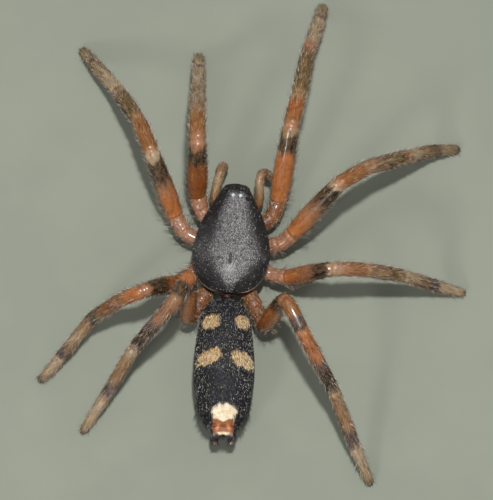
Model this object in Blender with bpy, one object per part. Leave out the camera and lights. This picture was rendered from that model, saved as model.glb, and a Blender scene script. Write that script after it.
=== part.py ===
# Southern white-tail spider, standing still, at life size.
# The body lies along Y with the head towards +Y, and the feet rest on the floor at z = 0.
# Sizes are in millimetres, and MM turns them into metres where a mesh or a place is made.

import math

import bmesh
import bpy
from mathutils import Vector

MM = 0.001

# Driving sizes of the body
CARAPACE_LENGTH = 5.75
CARAPACE_WIDTH = 4.04
CARAPACE_HEIGHT = 1.05
CARAPACE_MIDDLE = (0.06, -0.41)
CARAPACE_RIM_Z = 2.12
CARAPACE_FLOOR = 0.22
ABDOMEN_LENGTH = 7.15
ABDOMEN_WIDTH = 3.22
ABDOMEN_YAW = 3.6
ABDOMEN_PLACE = (0.17, -7.22, 2.05)
STERNUM_LENGTH = 3.75
STERNUM_WIDTH = 1.9
STERNUM_MIDDLE = (0.0, -0.8, 1.22)
PEDICEL_RADIUS = 0.31
GAP = 0.28

# Driving sizes of the legs, femur to tarsus, from the front pair to the rear pair
LEG_LENGTHS = {
    1: (4.5, 1.85, 3.1, 2.55, 1.2),
    2: (4.1, 1.95, 2.7, 2.5, 1.35),
    3: (3.4, 1.8, 2.15, 2.55, 1.6),
    4: (4.05, 1.9, 3.7, 3.55, 1.95),
}
LEG_THICKNESS = {1: 1.0, 2: 0.95, 3: 0.86, 4: 0.88}
COXA_THICKNESS = {1: 1.0, 2: 1.0, 3: 1.0, 4: 1.16}
FOOT_TIP_Z = 0.13
LEG_SIDES = 12
LEG_RINGS = 9


# The spider as it stands: the hip is where the femur leaves the trochanter, and the knuckle
# is where the coxa meets it. Headings are in degrees clockwise from +Y as seen from above,
# and pitches are in degrees above the level, for the femur, patella, tibia and metatarsus.
# The tarsus has a heading only, because its tip is set down on the floor.
STANCE = {
    "left_1": {
        "knuckle": (-1.6, 0.95, 1.45), "hip": (-1.92, 1.76, 1.89),
        "heading": (-4, -5, -4, -4, -3), "pitch": (67, -24, -53, -51),
    },
    "right_1": {
        "knuckle": (1.9, 0.9, 1.2), "hip": (2.24, 1.87, 1.11),
        "heading": (7, 8, 6, 11, 7), "pitch": (41, -12, -27, -36),
    },
    "left_2": {
        "knuckle": (-2.33, -0.25, 1.25), "hip": (-2.98, 0.67, 1.34),
        "heading": (-29, -24, -33, -39, -39), "pitch": (43, -18, -31, -32),
    },
    "right_2": {
        "knuckle": (2.45, -0.5, 1.6), "hip": (3.14, 0.0, 2.12),
        "heading": (46, 51, 58, 57, 75), "pitch": (41, -18, -39, -45),
    },
    "left_3": {
        "knuckle": (-1.92, -2.3, 1.4), "hip": (-2.62, -2.98, 1.73),
        "heading": (-128, -103, -118, -143, -140), "pitch": (54, -46, -39, -25),
    },
    "right_3": {
        "knuckle": (2.2, -2.05, 1.4), "hip": (3.06, -2.25, 1.68),
        "heading": (90, 83, 88, 87, 92), "pitch": (48, -15, -25, -47),
    },
    "left_4": {
        "knuckle": (-1.34, -3.75, 1.25), "hip": (-1.92, -4.87, 1.41),
        "heading": (0, -159, -135, -148, -149), "pitch": (68, 17, -43, -39),
    },
    "right_4": {
        "knuckle": (1.52, -3.85, 1.25), "hip": (2.03, -4.9, 1.45),
        "heading": (58, 149, 145, 151, 150), "pitch": (72, -6, -28, -38),
    },
}


def clear_scene():
    for thing in list(bpy.data.objects):
        bpy.data.objects.remove(thing, do_unlink=True)


def new_collection(name):
    collection = bpy.data.collections.new(name)
    bpy.context.scene.collection.children.link(collection)
    return collection


def material(name, colour, roughness, metallic=0.0):
    finish = bpy.data.materials.new(name)
    finish.use_nodes = True
    shader = finish.node_tree.nodes["Principled BSDF"]
    shader.inputs["Base Color"].default_value = (*colour, 1.0)
    shader.inputs["Roughness"].default_value = roughness
    shader.inputs["Metallic"].default_value = metallic
    return finish


def node(name, bm, place, finish):
    """One named piece of the spider, with its mesh in metres round its own place."""
    bmesh.ops.recalc_face_normals(bm, faces=bm.faces[:])
    bmesh.ops.scale(bm, vec=(MM, MM, MM), verts=bm.verts[:])
    mesh = bpy.data.meshes.new(name)
    bm.to_mesh(mesh)
    bm.free()
    mesh.shade_smooth()
    mesh.set_sharp_from_angle(angle=math.radians(50))
    mesh.materials.append(finish)
    piece = bpy.data.objects.new(name, mesh)
    piece.location = Vector(place) * MM
    piece.parent = spider
    parts.objects.link(piece)
    return piece


def fuse(piece, extras):
    """Joins closed meshes to a piece, with their roots sunk in it."""
    tools = bpy.data.collections.new(piece.name + "_joins")
    bpy.context.scene.collection.children.link(tools)
    for extra in extras:
        parts.objects.unlink(extra)
        tools.objects.link(extra)
    union = piece.modifiers.new("join", "BOOLEAN")
    union.operation = "UNION"
    union.operand_type = "COLLECTION"
    union.collection = tools
    union.solver = "EXACT"
    bpy.context.view_layer.update()
    graph = bpy.context.evaluated_depsgraph_get()
    joined = bpy.data.meshes.new_from_object(piece.evaluated_get(graph))
    piece.modifiers.clear()
    piece.data = joined
    for extra in extras:
        bpy.data.objects.remove(extra, do_unlink=True)
    bpy.data.collections.remove(tools)
    joined.set_sharp_from_angle(angle=math.radians(50))


def smooth(stations, t):
    """Value at t on the smooth curve that passes through the (t, value) stations."""
    last = len(stations) - 1
    t = min(max(t, stations[0][0]), stations[last][0])
    k = 0
    while k < last - 1 and stations[k + 1][0] <= t:
        k += 1

    def slope(i):
        before = stations[max(i - 1, 0)]
        after = stations[min(i + 1, last)]
        return (after[1] - before[1]) / (after[0] - before[0])

    start, end = stations[k], stations[k + 1]
    span = end[0] - start[0]
    u = (t - start[0]) / span
    bend_start = slope(k) * span
    bend_end = slope(k + 1) * span
    rise = end[1] - start[1]
    return (start[1] + bend_start * u
            + (3 * rise - 2 * bend_start - bend_end) * u ** 2
            + (bend_start + bend_end - 2 * rise) * u ** 3)


def body_form(length, width, top, bottom, sides, rings):
    """A closed form whose poles are its front and back ends. Its half-width, top and bottom
    are stations from front to back, as multiples of a plain egg's own section."""
    bm = bmesh.new()
    bmesh.ops.create_uvsphere(bm, u_segments=sides, v_segments=rings, radius=1.0)
    for vert in bm.verts:
        across, up, ahead = vert.co
        along = (1.0 - ahead) / 2
        height = top if up > 0 else bottom
        vert.co.x = across * smooth(width, along)
        vert.co.y = ahead * length / 2
        vert.co.z = up * smooth(height, along)
    return bm


def cut(bm, place, direction):
    """Takes away what lies past the place in that direction, and closes the cut."""
    everything = bm.verts[:] + bm.edges[:] + bm.faces[:]
    made = bmesh.ops.bisect_plane(
        bm, geom=everything, dist=1e-6, plane_co=place, plane_no=direction, clear_outer=True)
    rim = [item for item in made["geom_cut"] if isinstance(item, bmesh.types.BMEdge)]
    bmesh.ops.edgeloop_fill(bm, edges=rim)


def tube(points, radii, sides, rings, tall=1.0, across=None):
    """A round limb through the points, with a domed end past its first and last point.
    The radii are stations from 0 at the first point to 1 at the last."""
    points = [Vector(point) for point in points]
    reach = [0.0]
    for one, two in zip(points, points[1:]):
        reach.append(reach[-1] + (two - one).length)
    length = reach[-1]
    axes = [[(s / length, point[k]) for s, point in zip(reach, points)] for k in range(3)]

    def place(t):
        inside = min(max(t, 0.0), 1.0)
        middle = Vector([smooth(axis, inside) for axis in axes])
        if t == inside:
            return middle
        return middle + direction(inside) * (t - inside) * length

    def direction(t):
        near = 0.02
        low, high = max(t - near, 0.0), min(t + near, 1.0)
        return Vector([smooth(axis, high) - smooth(axis, low) for axis in axes]).normalized()

    first, last = radii[0][1], radii[-1][1]
    bm = bmesh.new()
    bmesh.ops.create_uvsphere(bm, u_segments=sides, v_segments=rings, radius=1.0)
    for vert in bm.verts:
        x, y, z = vert.co
        ring = math.hypot(x, y)
        s = -first + (1.0 - z) / 2 * (length + first + last)
        t = s / length
        radius = smooth(radii, t)
        if s < 0:
            radius *= math.sqrt(max(0.0, 1 - (s / first) ** 2))
        if s > length:
            radius *= math.sqrt(max(0.0, 1 - ((s - length) / last) ** 2))
        forward = direction(min(max(t, 0.0), 1.0))
        side = Vector(across) if across else forward.cross(Vector((0, 0, 1)))
        side = (side - forward * side.dot(forward)).normalized()
        rise = side.cross(forward)
        if ring > 0:
            vert.co = place(t) + (side * x + rise * y * tall) * (radius / ring)
        else:
            vert.co = place(t)
    return bm


def heading_and_pitch(heading, pitch):
    turn, climb = math.radians(heading), math.radians(pitch)
    level = math.cos(climb)
    return Vector((level * math.sin(turn), level * math.cos(turn), math.sin(climb)))


def limb(name, points, before, after, radii, finish, **shape):
    """One segment of a limb, parted from its neighbours by flat cuts that face each other.
    before and after are the directions of the neighbours, or None at a free end."""
    points = [Vector(point) for point in points]
    origin = points[0]
    local = [point - origin for point in points]
    bm = tube(local, radii, shape.get("sides", LEG_SIDES), shape.get("rings", LEG_RINGS),
              shape.get("tall", 1.0), shape.get("across"))
    leaves = (local[1] - local[0]).normalized()
    arrives = (local[-1] - local[-2]).normalized()
    if before is not None:
        plane = (before + leaves).normalized()
        cut(bm, local[0] + plane * GAP / 2, -plane)
    if after is not None:
        plane = (arrives + after).normalized()
        cut(bm, local[-1] - plane * GAP / 2, plane)
    if shape.get("on_floor"):
        cut(bm, (0, 0, -origin.z), (0, 0, -1))
    return node(name, bm, origin, finish)


# Carapace: one low shield, narrow at the head and domed over the fovea, with eight eyes
def build_carapace():
    half = CARAPACE_WIDTH / 2
    high = CARAPACE_HEIGHT
    width = [(0, 0.86 * half), (0.12, 0.715 * half), (0.35, 0.85 * half), (0.62, 1.03 * half),
             (0.85, 1.22 * half), (0.96, 1.5 * half), (1, 2.1 * half)]
    top = [(0, 1.1 * high), (0.14, 1.0 * high), (0.35, 0.93 * high), (0.6, 1.0 * high),
           (0.85, 1.1 * high), (1, 0.9 * high)]
    bottom = [(0, 0.2), (0.12, CARAPACE_FLOOR), (0.88, CARAPACE_FLOOR), (1, 0.2)]
    bm = body_form(CARAPACE_LENGTH, width, top, bottom, 32, 22)
    place = (*CARAPACE_MIDDLE, CARAPACE_RIM_Z)
    shield = node("carapace", bm, place, black_shell)

    # Each eye: how far from the middle line, its place along Y, its height and its radius
    eyes = [
        (0.18, 1.62, 2.9, 0.13), (0.56, 1.5, 2.72, 0.12),
        (0.17, 2.1, 2.62, 0.15), (0.5, 1.93, 2.5, 0.12),
    ]
    domes = []
    for side in (-1, 1):
        for out, ahead, up, radius in eyes:
            dome = bmesh.new()
            bmesh.ops.create_uvsphere(dome, u_segments=10, v_segments=6, radius=radius)
            place = (CARAPACE_MIDDLE[0] + side * out, ahead, up)
            domes.append(node("eye", dome, place, black_shell))
    fuse(shield, domes)


# Sternum: the flat heart-shaped plate between the coxae, with the labium at its front
def build_sternum():
    half = STERNUM_WIDTH / 2
    width = [(0, 1.25 * half), (0.15, 1.0 * half), (0.5, 1.0 * half), (0.85, 0.95 * half),
             (1, 1.1 * half)]
    depth = [(0, 0.6), (0.2, 0.46), (0.8, 0.46), (1, 0.6)]
    bm = body_form(STERNUM_LENGTH, width, depth, depth, 20, 12)
    plate = node("sternum", bm, STERNUM_MIDDLE, brown_skin)

    labium = tube([(0, 0, 0), (0, 0.42, 0)], [(0, 0.22), (1, 0.18)], 10, 6, across=(1, 0, 0))
    front = STERNUM_MIDDLE[1] + STERNUM_LENGTH / 2
    fuse(plate, [node("labium", labium, (0, front - 0.3, 1.05), brown_skin)])


# Pedicel: the narrow stalk that carries the abdomen
def build_pedicel():
    start = STERNUM_MIDDLE[1] - STERNUM_LENGTH / 2 - GAP
    bm = tube([(0, 0, 0), (0.02, -0.54, 0.12)], [(0, PEDICEL_RADIUS), (1, PEDICEL_RADIUS)],
              12, 8, across=(1, 0, 0))
    cut(bm, (0, 0, 0), (0, 1, 0))
    cut(bm, (0, -0.54, 0), (0, -1, 0))
    node("pedicel", bm, (0, start, 1.42), orange_skin)


# Abdomen: a long soft cylinder, blunt in front, with the anal tubercle over the spinnerets
def abdomen_stations():
    half = ABDOMEN_WIDTH / 2
    width = [(0, 1.45 * half), (0.09, 1.2 * half), (0.24, 1.03 * half), (0.4, 0.985 * half),
             (0.6, 1.01 * half), (0.8, 1.07 * half), (0.91, 1.2 * half), (1, 1.45 * half)]
    top = [(0, 1.15), (0.1, 1.2), (0.35, 1.3), (0.6, 1.36), (0.85, 1.3), (1, 1.2)]
    bottom = [(0, 0.75), (0.12, 0.95), (0.35, 1.36), (0.6, 1.42), (0.85, 1.46), (0.95, 1.8),
              (1, 2.4)]
    return width, top, bottom


def build_abdomen():
    sack = node("abdomen", body_form(ABDOMEN_LENGTH, *abdomen_stations(), 32, 24),
                ABDOMEN_PLACE, black_skin)
    # The tubercle is a wide low stalk, cut square at its end
    knob = tube([(0, 0, 0), (0, -1.1, -0.03)], [(0, 0.58), (1, 0.5)], 16, 8, tall=0.54,
                across=(1, 0, 0))
    cut(knob, (0, -0.65, 0), (0, -1, 0))
    root = Vector(ABDOMEN_PLACE) + Vector((0, 0.35 - ABDOMEN_LENGTH / 2, 0.2))
    fuse(sack, [node("tubercle", knob, root, black_skin)])
    sack.rotation_euler.z = math.radians(ABDOMEN_YAW)


def tail_face(out, up):
    """Place along Y of the abdomen's rear face, at a distance from its middle line and axis."""
    width, top, bottom = abdomen_stations()
    height = top if up > 0 else bottom
    inside, outside = 0.5, 1.0
    while outside - inside > 1e-6:
        along = (inside + outside) / 2
        ring = 2 * math.sqrt(along * (1 - along))
        spread = math.hypot(out / smooth(width, along), up / smooth(height, along))
        if spread < ring:
            inside = along
        else:
            outside = along
    return ABDOMEN_LENGTH * (0.5 - inside)


# Spinnerets: two stout ones below and two slimmer ones above them, pointing back
def build_spinnerets():
    step = 0.02
    yaw = math.radians(ABDOMEN_YAW)
    # Each pair: how far from the middle line, its height, its length and its radius
    pairs = {"lower": (0.37, 1.06, 0.62, 0.24), "upper": (0.32, 1.55, 0.3, 0.19)}
    for pair, (out, height, length, radius) in pairs.items():
        up = height - ABDOMEN_PLACE[2]
        slope_out = (tail_face(out + step, up) - tail_face(out - step, up)) / (2 * step)
        slope_up = (tail_face(out, up + step) - tail_face(out, up - step)) / (2 * step)
        for side, word in ((-1, "left"), (1, "right")):
            away = Vector((side * slope_out, -1, slope_up)).normalized()
            root = Vector((side * out, tail_face(out, up), up)) + away * GAP
            tip = Vector((0, -length, -0.06))
            sunk = -tip.normalized() * 2 * radius
            bm = tube([sunk, tip], [(0, radius), (0.7, radius * 0.95), (1, radius * 0.6)],
                      12, 9, across=(1, 0, 0))
            cut(bm, (0, 0, 0), -away)
            turned = Vector((root.x * math.cos(yaw) - root.y * math.sin(yaw),
                             root.x * math.sin(yaw) + root.y * math.cos(yaw), root.z))
            piece = node("spinneret_%s_%s" % (pair, word), bm,
                         Vector(ABDOMEN_PLACE) + turned, grey_skin)
            piece.rotation_euler.z = yaw


# Chelicerae: two short upright jaws under the front of the carapace, each with its fang
def build_chelicerae():
    out, ahead, top = 0.4, 2.2, 1.62
    for side, word in ((-1, "left"), (1, "right")):
        bm = tube([(0, 0, 0), (0, 0.1, -0.45), (-side * 0.01, 0.02, -0.82)],
                  [(0, 0.24), (0.45, 0.26), (1, 0.21)], 14, 10, tall=1.15, across=(1, 0, 0))
        cut(bm, (0, 0, 0), (0, 0, 1))
        place = Vector((CARAPACE_MIDDLE[0] + side * out, ahead, top))
        jaw = node("chelicera_" + word, bm, place, black_shell)
        claw = tube([(0, 0, 0), (-side * 0.08, 0.02, -0.17), (-side * 0.19, -0.08, -0.24)],
                    [(0, 0.09), (1, 0.035)], 8, 6, across=(0, 1, 0))
        fuse(jaw, [node("fang", claw, place + Vector((0, 0.08, -0.94)), black_shell)])


# Palps: short feelers beside the jaws, each of base with its chewing lobe, femur, tibia, tarsus
def build_palps():
    routes = {
        "left": [(-1.12, 1.6, 1.2), (-0.9, 2.84, 1.95), (-0.77, 3.4, 1.75), (-0.68, 3.6, 0.8)],
        "right": [(1.3, 1.55, 1.2), (1.2, 2.85, 1.95), (1.38, 3.3, 1.75), (1.8, 3.15, 0.85)],
    }
    for side, word in ((-1, "left"), (1, "right")):
        hip, knee, wrist, tip = [Vector(point) for point in routes[word]]
        steps = [(knee - hip).normalized(), (wrist - knee).normalized(), (tip - wrist).normalized()]
        knuckle = Vector((side * 0.85, 1.42, 1.05))
        root = Vector((side * 0.68, 1.22, 1.05))
        base = limb("palp_%s_base" % word, [root, knuckle, hip], None, steps[0],
                    [(0, 0.22), (0.5, 0.24), (1, 0.22)], brown_skin, rings=8, sides=10)
        lobe = tube([(0, 0, 0), (-side * 0.2, 0.32, -0.04)], [(0, 0.2), (1, 0.15)], 10, 6)
        fuse(base, [node("lobe", lobe, (side * 0.66, 1.28, 1.02), brown_skin)])
        limb("palp_%s_femur" % word, [hip, knee], (hip - knuckle).normalized(), steps[1],
             [(0, 0.21), (0.4, 0.23), (1, 0.22)], orange_skin, rings=8, sides=10)
        limb("palp_%s_tibia" % word, [knee, wrist], steps[0], steps[2],
             [(0, 0.22), (1, 0.23)], orange_skin, rings=8, sides=10)
        limb("palp_%s_tarsus" % word, [wrist, tip], steps[1], None,
             [(0, 0.23), (0.4, 0.23), (1, 0.13)], tan_skin, rings=8, sides=10)


def sternum_socket(pair):
    """Middle of a coxa's inner end and the way it points, a gap away from the sternum's rim."""
    turn = math.radians({1: 52, 2: 82, 3: 112, 4: 146}[pair])
    half_width, half_length = STERNUM_WIDTH / 2, STERNUM_LENGTH / 2
    rim = Vector((half_width * math.sin(turn), half_length * math.cos(turn), 0))
    out = Vector((rim.x / half_width ** 2, rim.y / half_length ** 2, 0)).normalized()
    return rim + out * GAP + Vector((0, STERNUM_MIDDLE[1], STERNUM_MIDDLE[2])), out


# Legs: eight, each of coxa with trochanter, femur, patella, tibia, and metatarsus with tarsus
def build_leg(name):
    side, pair = name.split("_")
    pair = int(pair)
    mirror = -1 if side == "left" else 1
    stance = STANCE[name]
    thick = LEG_THICKNESS[pair]

    def radii(*stations):
        return [(t, radius * thick) for t, radius in stations]

    directions = [heading_and_pitch(*angles) for angles in zip(stance["heading"], stance["pitch"])]
    joints = [Vector(stance["hip"])]
    for length, direction in zip(LEG_LENGTHS[pair], directions):
        joints.append(joints[-1] + direction * length)
    tarsus = LEG_LENGTHS[pair][4]
    drop = math.degrees(math.asin((FOOT_TIP_Z - joints[4].z) / tarsus))
    directions.append(heading_and_pitch(stance["heading"][4], drop))
    joints.append(joints[4] + directions[4] * tarsus)

    socket, out = sternum_socket(pair)
    socket.x *= mirror
    out.x *= mirror
    knuckle = Vector(stance["knuckle"])
    arrival = (joints[0] - knuckle).normalized()
    label = "leg_%s_%d_" % (side, pair)
    stout = COXA_THICKNESS[pair]
    coxa = limb(label + "coxa", [socket, knuckle, joints[0]], None, directions[0],
                radii((0, 0.36 * stout), (0.5, 0.42 * stout), (1, 0.4)), orange_shell)
    trim_inner_end(coxa, out)

    bow = Vector((0, 0, 0.09 * LEG_LENGTHS[pair][0] / 4.5))
    limb(label + "femur", [joints[0], (joints[0] + joints[1]) / 2 + bow, joints[1]],
         arrival, directions[1], radii((0, 0.41), (0.3, 0.53), (0.75, 0.47), (1, 0.41)),
         orange_shell, rings=10)
    limb(label + "patella", joints[1:3], directions[0], directions[2],
         radii((0, 0.4), (0.5, 0.43), (1, 0.39)), orange_shell)
    limb(label + "tibia", joints[2:4], directions[1], directions[3],
         radii((0, 0.37), (0.4, 0.4), (1, 0.34)), tan_skin)
    limb(label + "foot", joints[3:6], directions[2], None,
         radii((0, 0.33), (0.6, 0.3), (0.9, 0.24), (1, 0.18)), tan_skin, rings=12, on_floor=True)


def trim_inner_end(coxa, out):
    """Cuts a coxa's inner end flat, facing the sternum's rim."""
    bm = bmesh.new()
    bm.from_mesh(coxa.data)
    cut(bm, (0, 0, 0), -out)
    bm.to_mesh(coxa.data)
    bm.free()


def centre_on_floor():
    """Moves the whole spider so that the middle of its box is at X = 0 and Y = 0."""
    bpy.context.view_layer.update()
    corners = [piece.matrix_world @ vert.co for piece in parts.objects
               if piece.type == "MESH" for vert in piece.data.vertices]
    middle = [(min(corner[k] for corner in corners) + max(corner[k] for corner in corners)) / 2
              for k in range(2)]
    spider.location = (-middle[0], -middle[1], 0)
    bpy.context.view_layer.update()


clear_scene()
parts = new_collection("white_tail_spider")
spider = bpy.data.objects.new("spider", None)
parts.objects.link(spider)

black_shell = material("black_shell", (0.03, 0.028, 0.028), 0.4)
brown_skin = material("brown_skin", (0.16, 0.06, 0.03), 0.45)
orange_shell = material("orange_shell", (0.42, 0.13, 0.045), 0.3)
orange_skin = material("orange_skin", (0.45, 0.19, 0.08), 0.4)
tan_skin = material("tan_skin", (0.4, 0.22, 0.12), 0.5)
black_skin = material("black_skin", (0.03, 0.03, 0.033), 0.6)
grey_skin = material("grey_skin", (0.12, 0.11, 0.11), 0.5)

build_carapace()
build_sternum()
build_pedicel()
build_abdomen()
build_spinnerets()
build_chelicerae()
build_palps()
for leg in STANCE:
    build_leg(leg)
centre_on_floor()
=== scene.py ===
# Looks of a life-size southern white-tail spider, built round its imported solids.
# Lengths are in millimetres and become metres where a mesh, a light or the camera is made.
import math

import bpy
import numpy as np
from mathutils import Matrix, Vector


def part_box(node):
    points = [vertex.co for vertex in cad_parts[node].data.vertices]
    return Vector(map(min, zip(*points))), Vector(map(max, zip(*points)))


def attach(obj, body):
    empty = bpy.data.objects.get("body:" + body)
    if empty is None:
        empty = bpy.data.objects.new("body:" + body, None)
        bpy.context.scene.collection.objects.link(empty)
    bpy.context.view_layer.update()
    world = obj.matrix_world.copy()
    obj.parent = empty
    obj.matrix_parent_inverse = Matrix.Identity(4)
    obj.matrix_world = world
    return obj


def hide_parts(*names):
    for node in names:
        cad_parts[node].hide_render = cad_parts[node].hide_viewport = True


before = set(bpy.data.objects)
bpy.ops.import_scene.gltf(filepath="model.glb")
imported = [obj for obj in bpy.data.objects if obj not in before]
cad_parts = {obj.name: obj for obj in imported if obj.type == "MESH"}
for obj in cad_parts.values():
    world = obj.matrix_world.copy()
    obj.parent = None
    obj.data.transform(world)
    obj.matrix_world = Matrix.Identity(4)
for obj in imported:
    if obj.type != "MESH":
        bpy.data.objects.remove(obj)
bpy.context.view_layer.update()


# The carapace: the hard shield over the front of the body. It is near-black, granular shell
# with a thin pale rim, and a short slit where the stomach muscles are fixed inside. Short
# silvery hairs lie on it, closest along the middle.

MM = 0.001
rng = np.random.default_rng(4)

# The body's own origin is on the floor below the sternum, and sizes are measured from it
SHIELD_MIDDLE = np.array([0.06, -0.41, 2.12])
shield_low, shield_high = (np.array(corner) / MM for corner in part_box("carapace"))
origin = (shield_low + shield_high) / 2 * (1, 1, 0) - SHIELD_MIDDLE * (1, 1, 0)


def unit(vectors):
    vectors = np.asarray(vectors, dtype=float)
    return vectors / np.maximum(np.linalg.norm(vectors, axis=-1, keepdims=True), 1e-12)


def curve(stations, wanted):
    """Values at the wanted places on a smooth curve through (place, value) stations."""
    places, values = np.array(stations, dtype=float).T
    slopes = np.empty(len(places))
    slopes[1:-1] = (values[2:] - values[:-2]) / (places[2:] - places[:-2])
    slopes[0] = (values[1] - values[0]) / (places[1] - places[0])
    slopes[-1] = (values[-1] - values[-2]) / (places[-1] - places[-2])
    wanted = np.clip(wanted, places[0], places[-1])
    k = np.clip(np.searchsorted(places, wanted, side="right") - 1, 0, len(places) - 2)
    span = places[k + 1] - places[k]
    u = (wanted - places[k]) / span
    rise = values[k + 1] - values[k]
    leave, arrive = slopes[k] * span, slopes[k + 1] * span
    return (values[k] + leave * u + (3 * rise - 2 * leave - arrive) * u ** 2
            + (leave + arrive - 2 * rise) * u ** 3)


def soft_step(value, low, high):
    """0 below low, 1 above high, and a smooth rise between them."""
    u = np.clip((np.asarray(value, dtype=float) - low) / (high - low), 0, 1)
    return u * u * (3 - 2 * u)


def band(value, start, end, soft):
    """1 between start and end, falling smoothly to 0 past each."""
    return soft_step(value, start - soft, start + soft) * (1 - soft_step(value, end - soft, end + soft))


class BodyForm:
    """A long round part of the body, as half width, rise and depth at stations from 0 at its
    front pole to 1 at its rear pole. Turn runs from the spider's right side over the top."""

    def __init__(self, middle, length, half, rise, depth, inset=0.0, heading=0.0):
        self.middle = origin + np.array(middle)
        self.length = length - 2 * inset
        self.inset = inset
        self.stations = half, rise, depth
        turn = math.radians(heading)
        self.right = np.array([math.cos(turn), math.sin(turn), 0])
        self.ahead = np.array([-math.sin(turn), math.cos(turn), 0])

    def local(self, along, turn):
        """Places right of, ahead of and above the part's middle."""
        half, rise, depth = (curve(rows, along) - self.inset for rows in self.stations)
        ring = 2 * np.sqrt(np.clip(along * (1 - along), 0, None))
        out, up = ring * np.cos(turn), ring * np.sin(turn)
        return np.stack([out * half, (0.5 - along) * self.length,
                         up * np.where(up > 0, rise, depth)], axis=-1)

    def placed(self, local):
        return (self.middle + local[:, :1] * self.right + local[:, 1:2] * self.ahead
                + local[:, 2:] * np.array([0, 0, 1]))

    def surface(self, along, turn):
        """Places on the surface, with the outward and the rearward directions there."""
        step = 1e-3
        here = self.placed(self.local(along, turn))
        back = self.placed(self.local(along + step, turn)) - here
        over = self.placed(self.local(along, turn + step)) - here
        return here, unit(np.cross(over, back)), unit(back)

    def scatter(self, count, density, turns=(0, 2 * math.pi)):
        """Random shares and turns, evenly over the area times a density of the local place."""
        tries = count * 5
        along = rng.uniform(0.003, 0.997, tries)
        turn = rng.uniform(*turns, tries)
        here = self.placed(self.local(along, turn))
        over = self.placed(self.local(along, turn + 0.01)) - here
        back = self.placed(self.local(along + 0.002, turn)) - here
        weight = np.linalg.norm(np.cross(over, back), axis=1) * density(self.local(along, turn))
        pick = rng.choice(tries, count, p=weight / weight.sum())
        return along[pick], turn[pick]

    def unwrap(self, along, turn):
        return np.stack([turn / (2 * math.pi) % 1, along], -1)


def closed_grid(rings, sides):
    """Faces over a first pole, rings of points and a last pole, numbered in that order."""
    index = 1 + np.arange(rings * sides).reshape(rings, sides)
    after = np.roll(index, -1, axis=1)
    quads = np.stack([index[:-1], after[:-1], after[1:], index[1:]], axis=-1).reshape(-1, 4)
    last = rings * sides + 1
    first_fan = [(0, int(b), int(a)) for a, b in zip(index[0], after[0])]
    last_fan = [(last, int(a), int(b)) for a, b in zip(index[-1], after[-1])]
    return quads.tolist() + first_fan + last_fan


def pole_grid(rings, sides, near=0.02, rear=None):
    """Shares along and turns for a first pole, rings of points and a last pole."""
    along = (1 - np.cos(np.linspace(near, math.pi - (rear or near), rings))) / 2
    turn = np.linspace(0, 2 * math.pi, sides, endpoint=False)
    along, turn = (part.ravel() for part in np.meshgrid(along, turn, indexing="ij"))
    return np.concatenate([[0.0], along, [1.0]]), np.concatenate([[0.0], turn, [0.0]])


def new_piece(name, points, faces, material, values=None):
    """A smooth mesh piece of the spider, from points in millimetres, with named values at
    its points. It rides on the body."""
    mesh = bpy.data.meshes.new(name)
    if isinstance(faces, np.ndarray):
        mesh.vertices.add(len(points))
        mesh.vertices.foreach_set("co", (points * MM).ravel())
        mesh.loops.add(faces.size)
        mesh.loops.foreach_set("vertex_index", faces.ravel().astype(np.int32))
        mesh.polygons.add(len(faces))
        mesh.polygons.foreach_set("loop_start", np.arange(0, faces.size, 3, dtype=np.int32))
        mesh.update(calc_edges=True)
    else:
        mesh.from_pydata((np.asarray(points) * MM).tolist(), [], faces)
    for key, numbers in (values or {}).items():
        numbers = np.asarray(numbers, dtype=np.float32)
        kind, field = ("FLOAT_VECTOR", "vector") if numbers.ndim > 1 else ("FLOAT", "value")
        mesh.attributes.new(key, kind, "POINT").data.foreach_set(field, numbers.ravel())
    mesh.shade_smooth()
    mesh.materials.append(material)
    piece = bpy.data.objects.new(name, mesh)
    bpy.context.scene.collection.objects.link(piece)
    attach(piece, "root")
    return piece


# Each hair's own patch of the flat skin, and its points: two rings of three and the tip
HAIR_PATCH, HAIR_POINTS = 0.003, 7
FLOOR_CLEAR = 0.003


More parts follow.
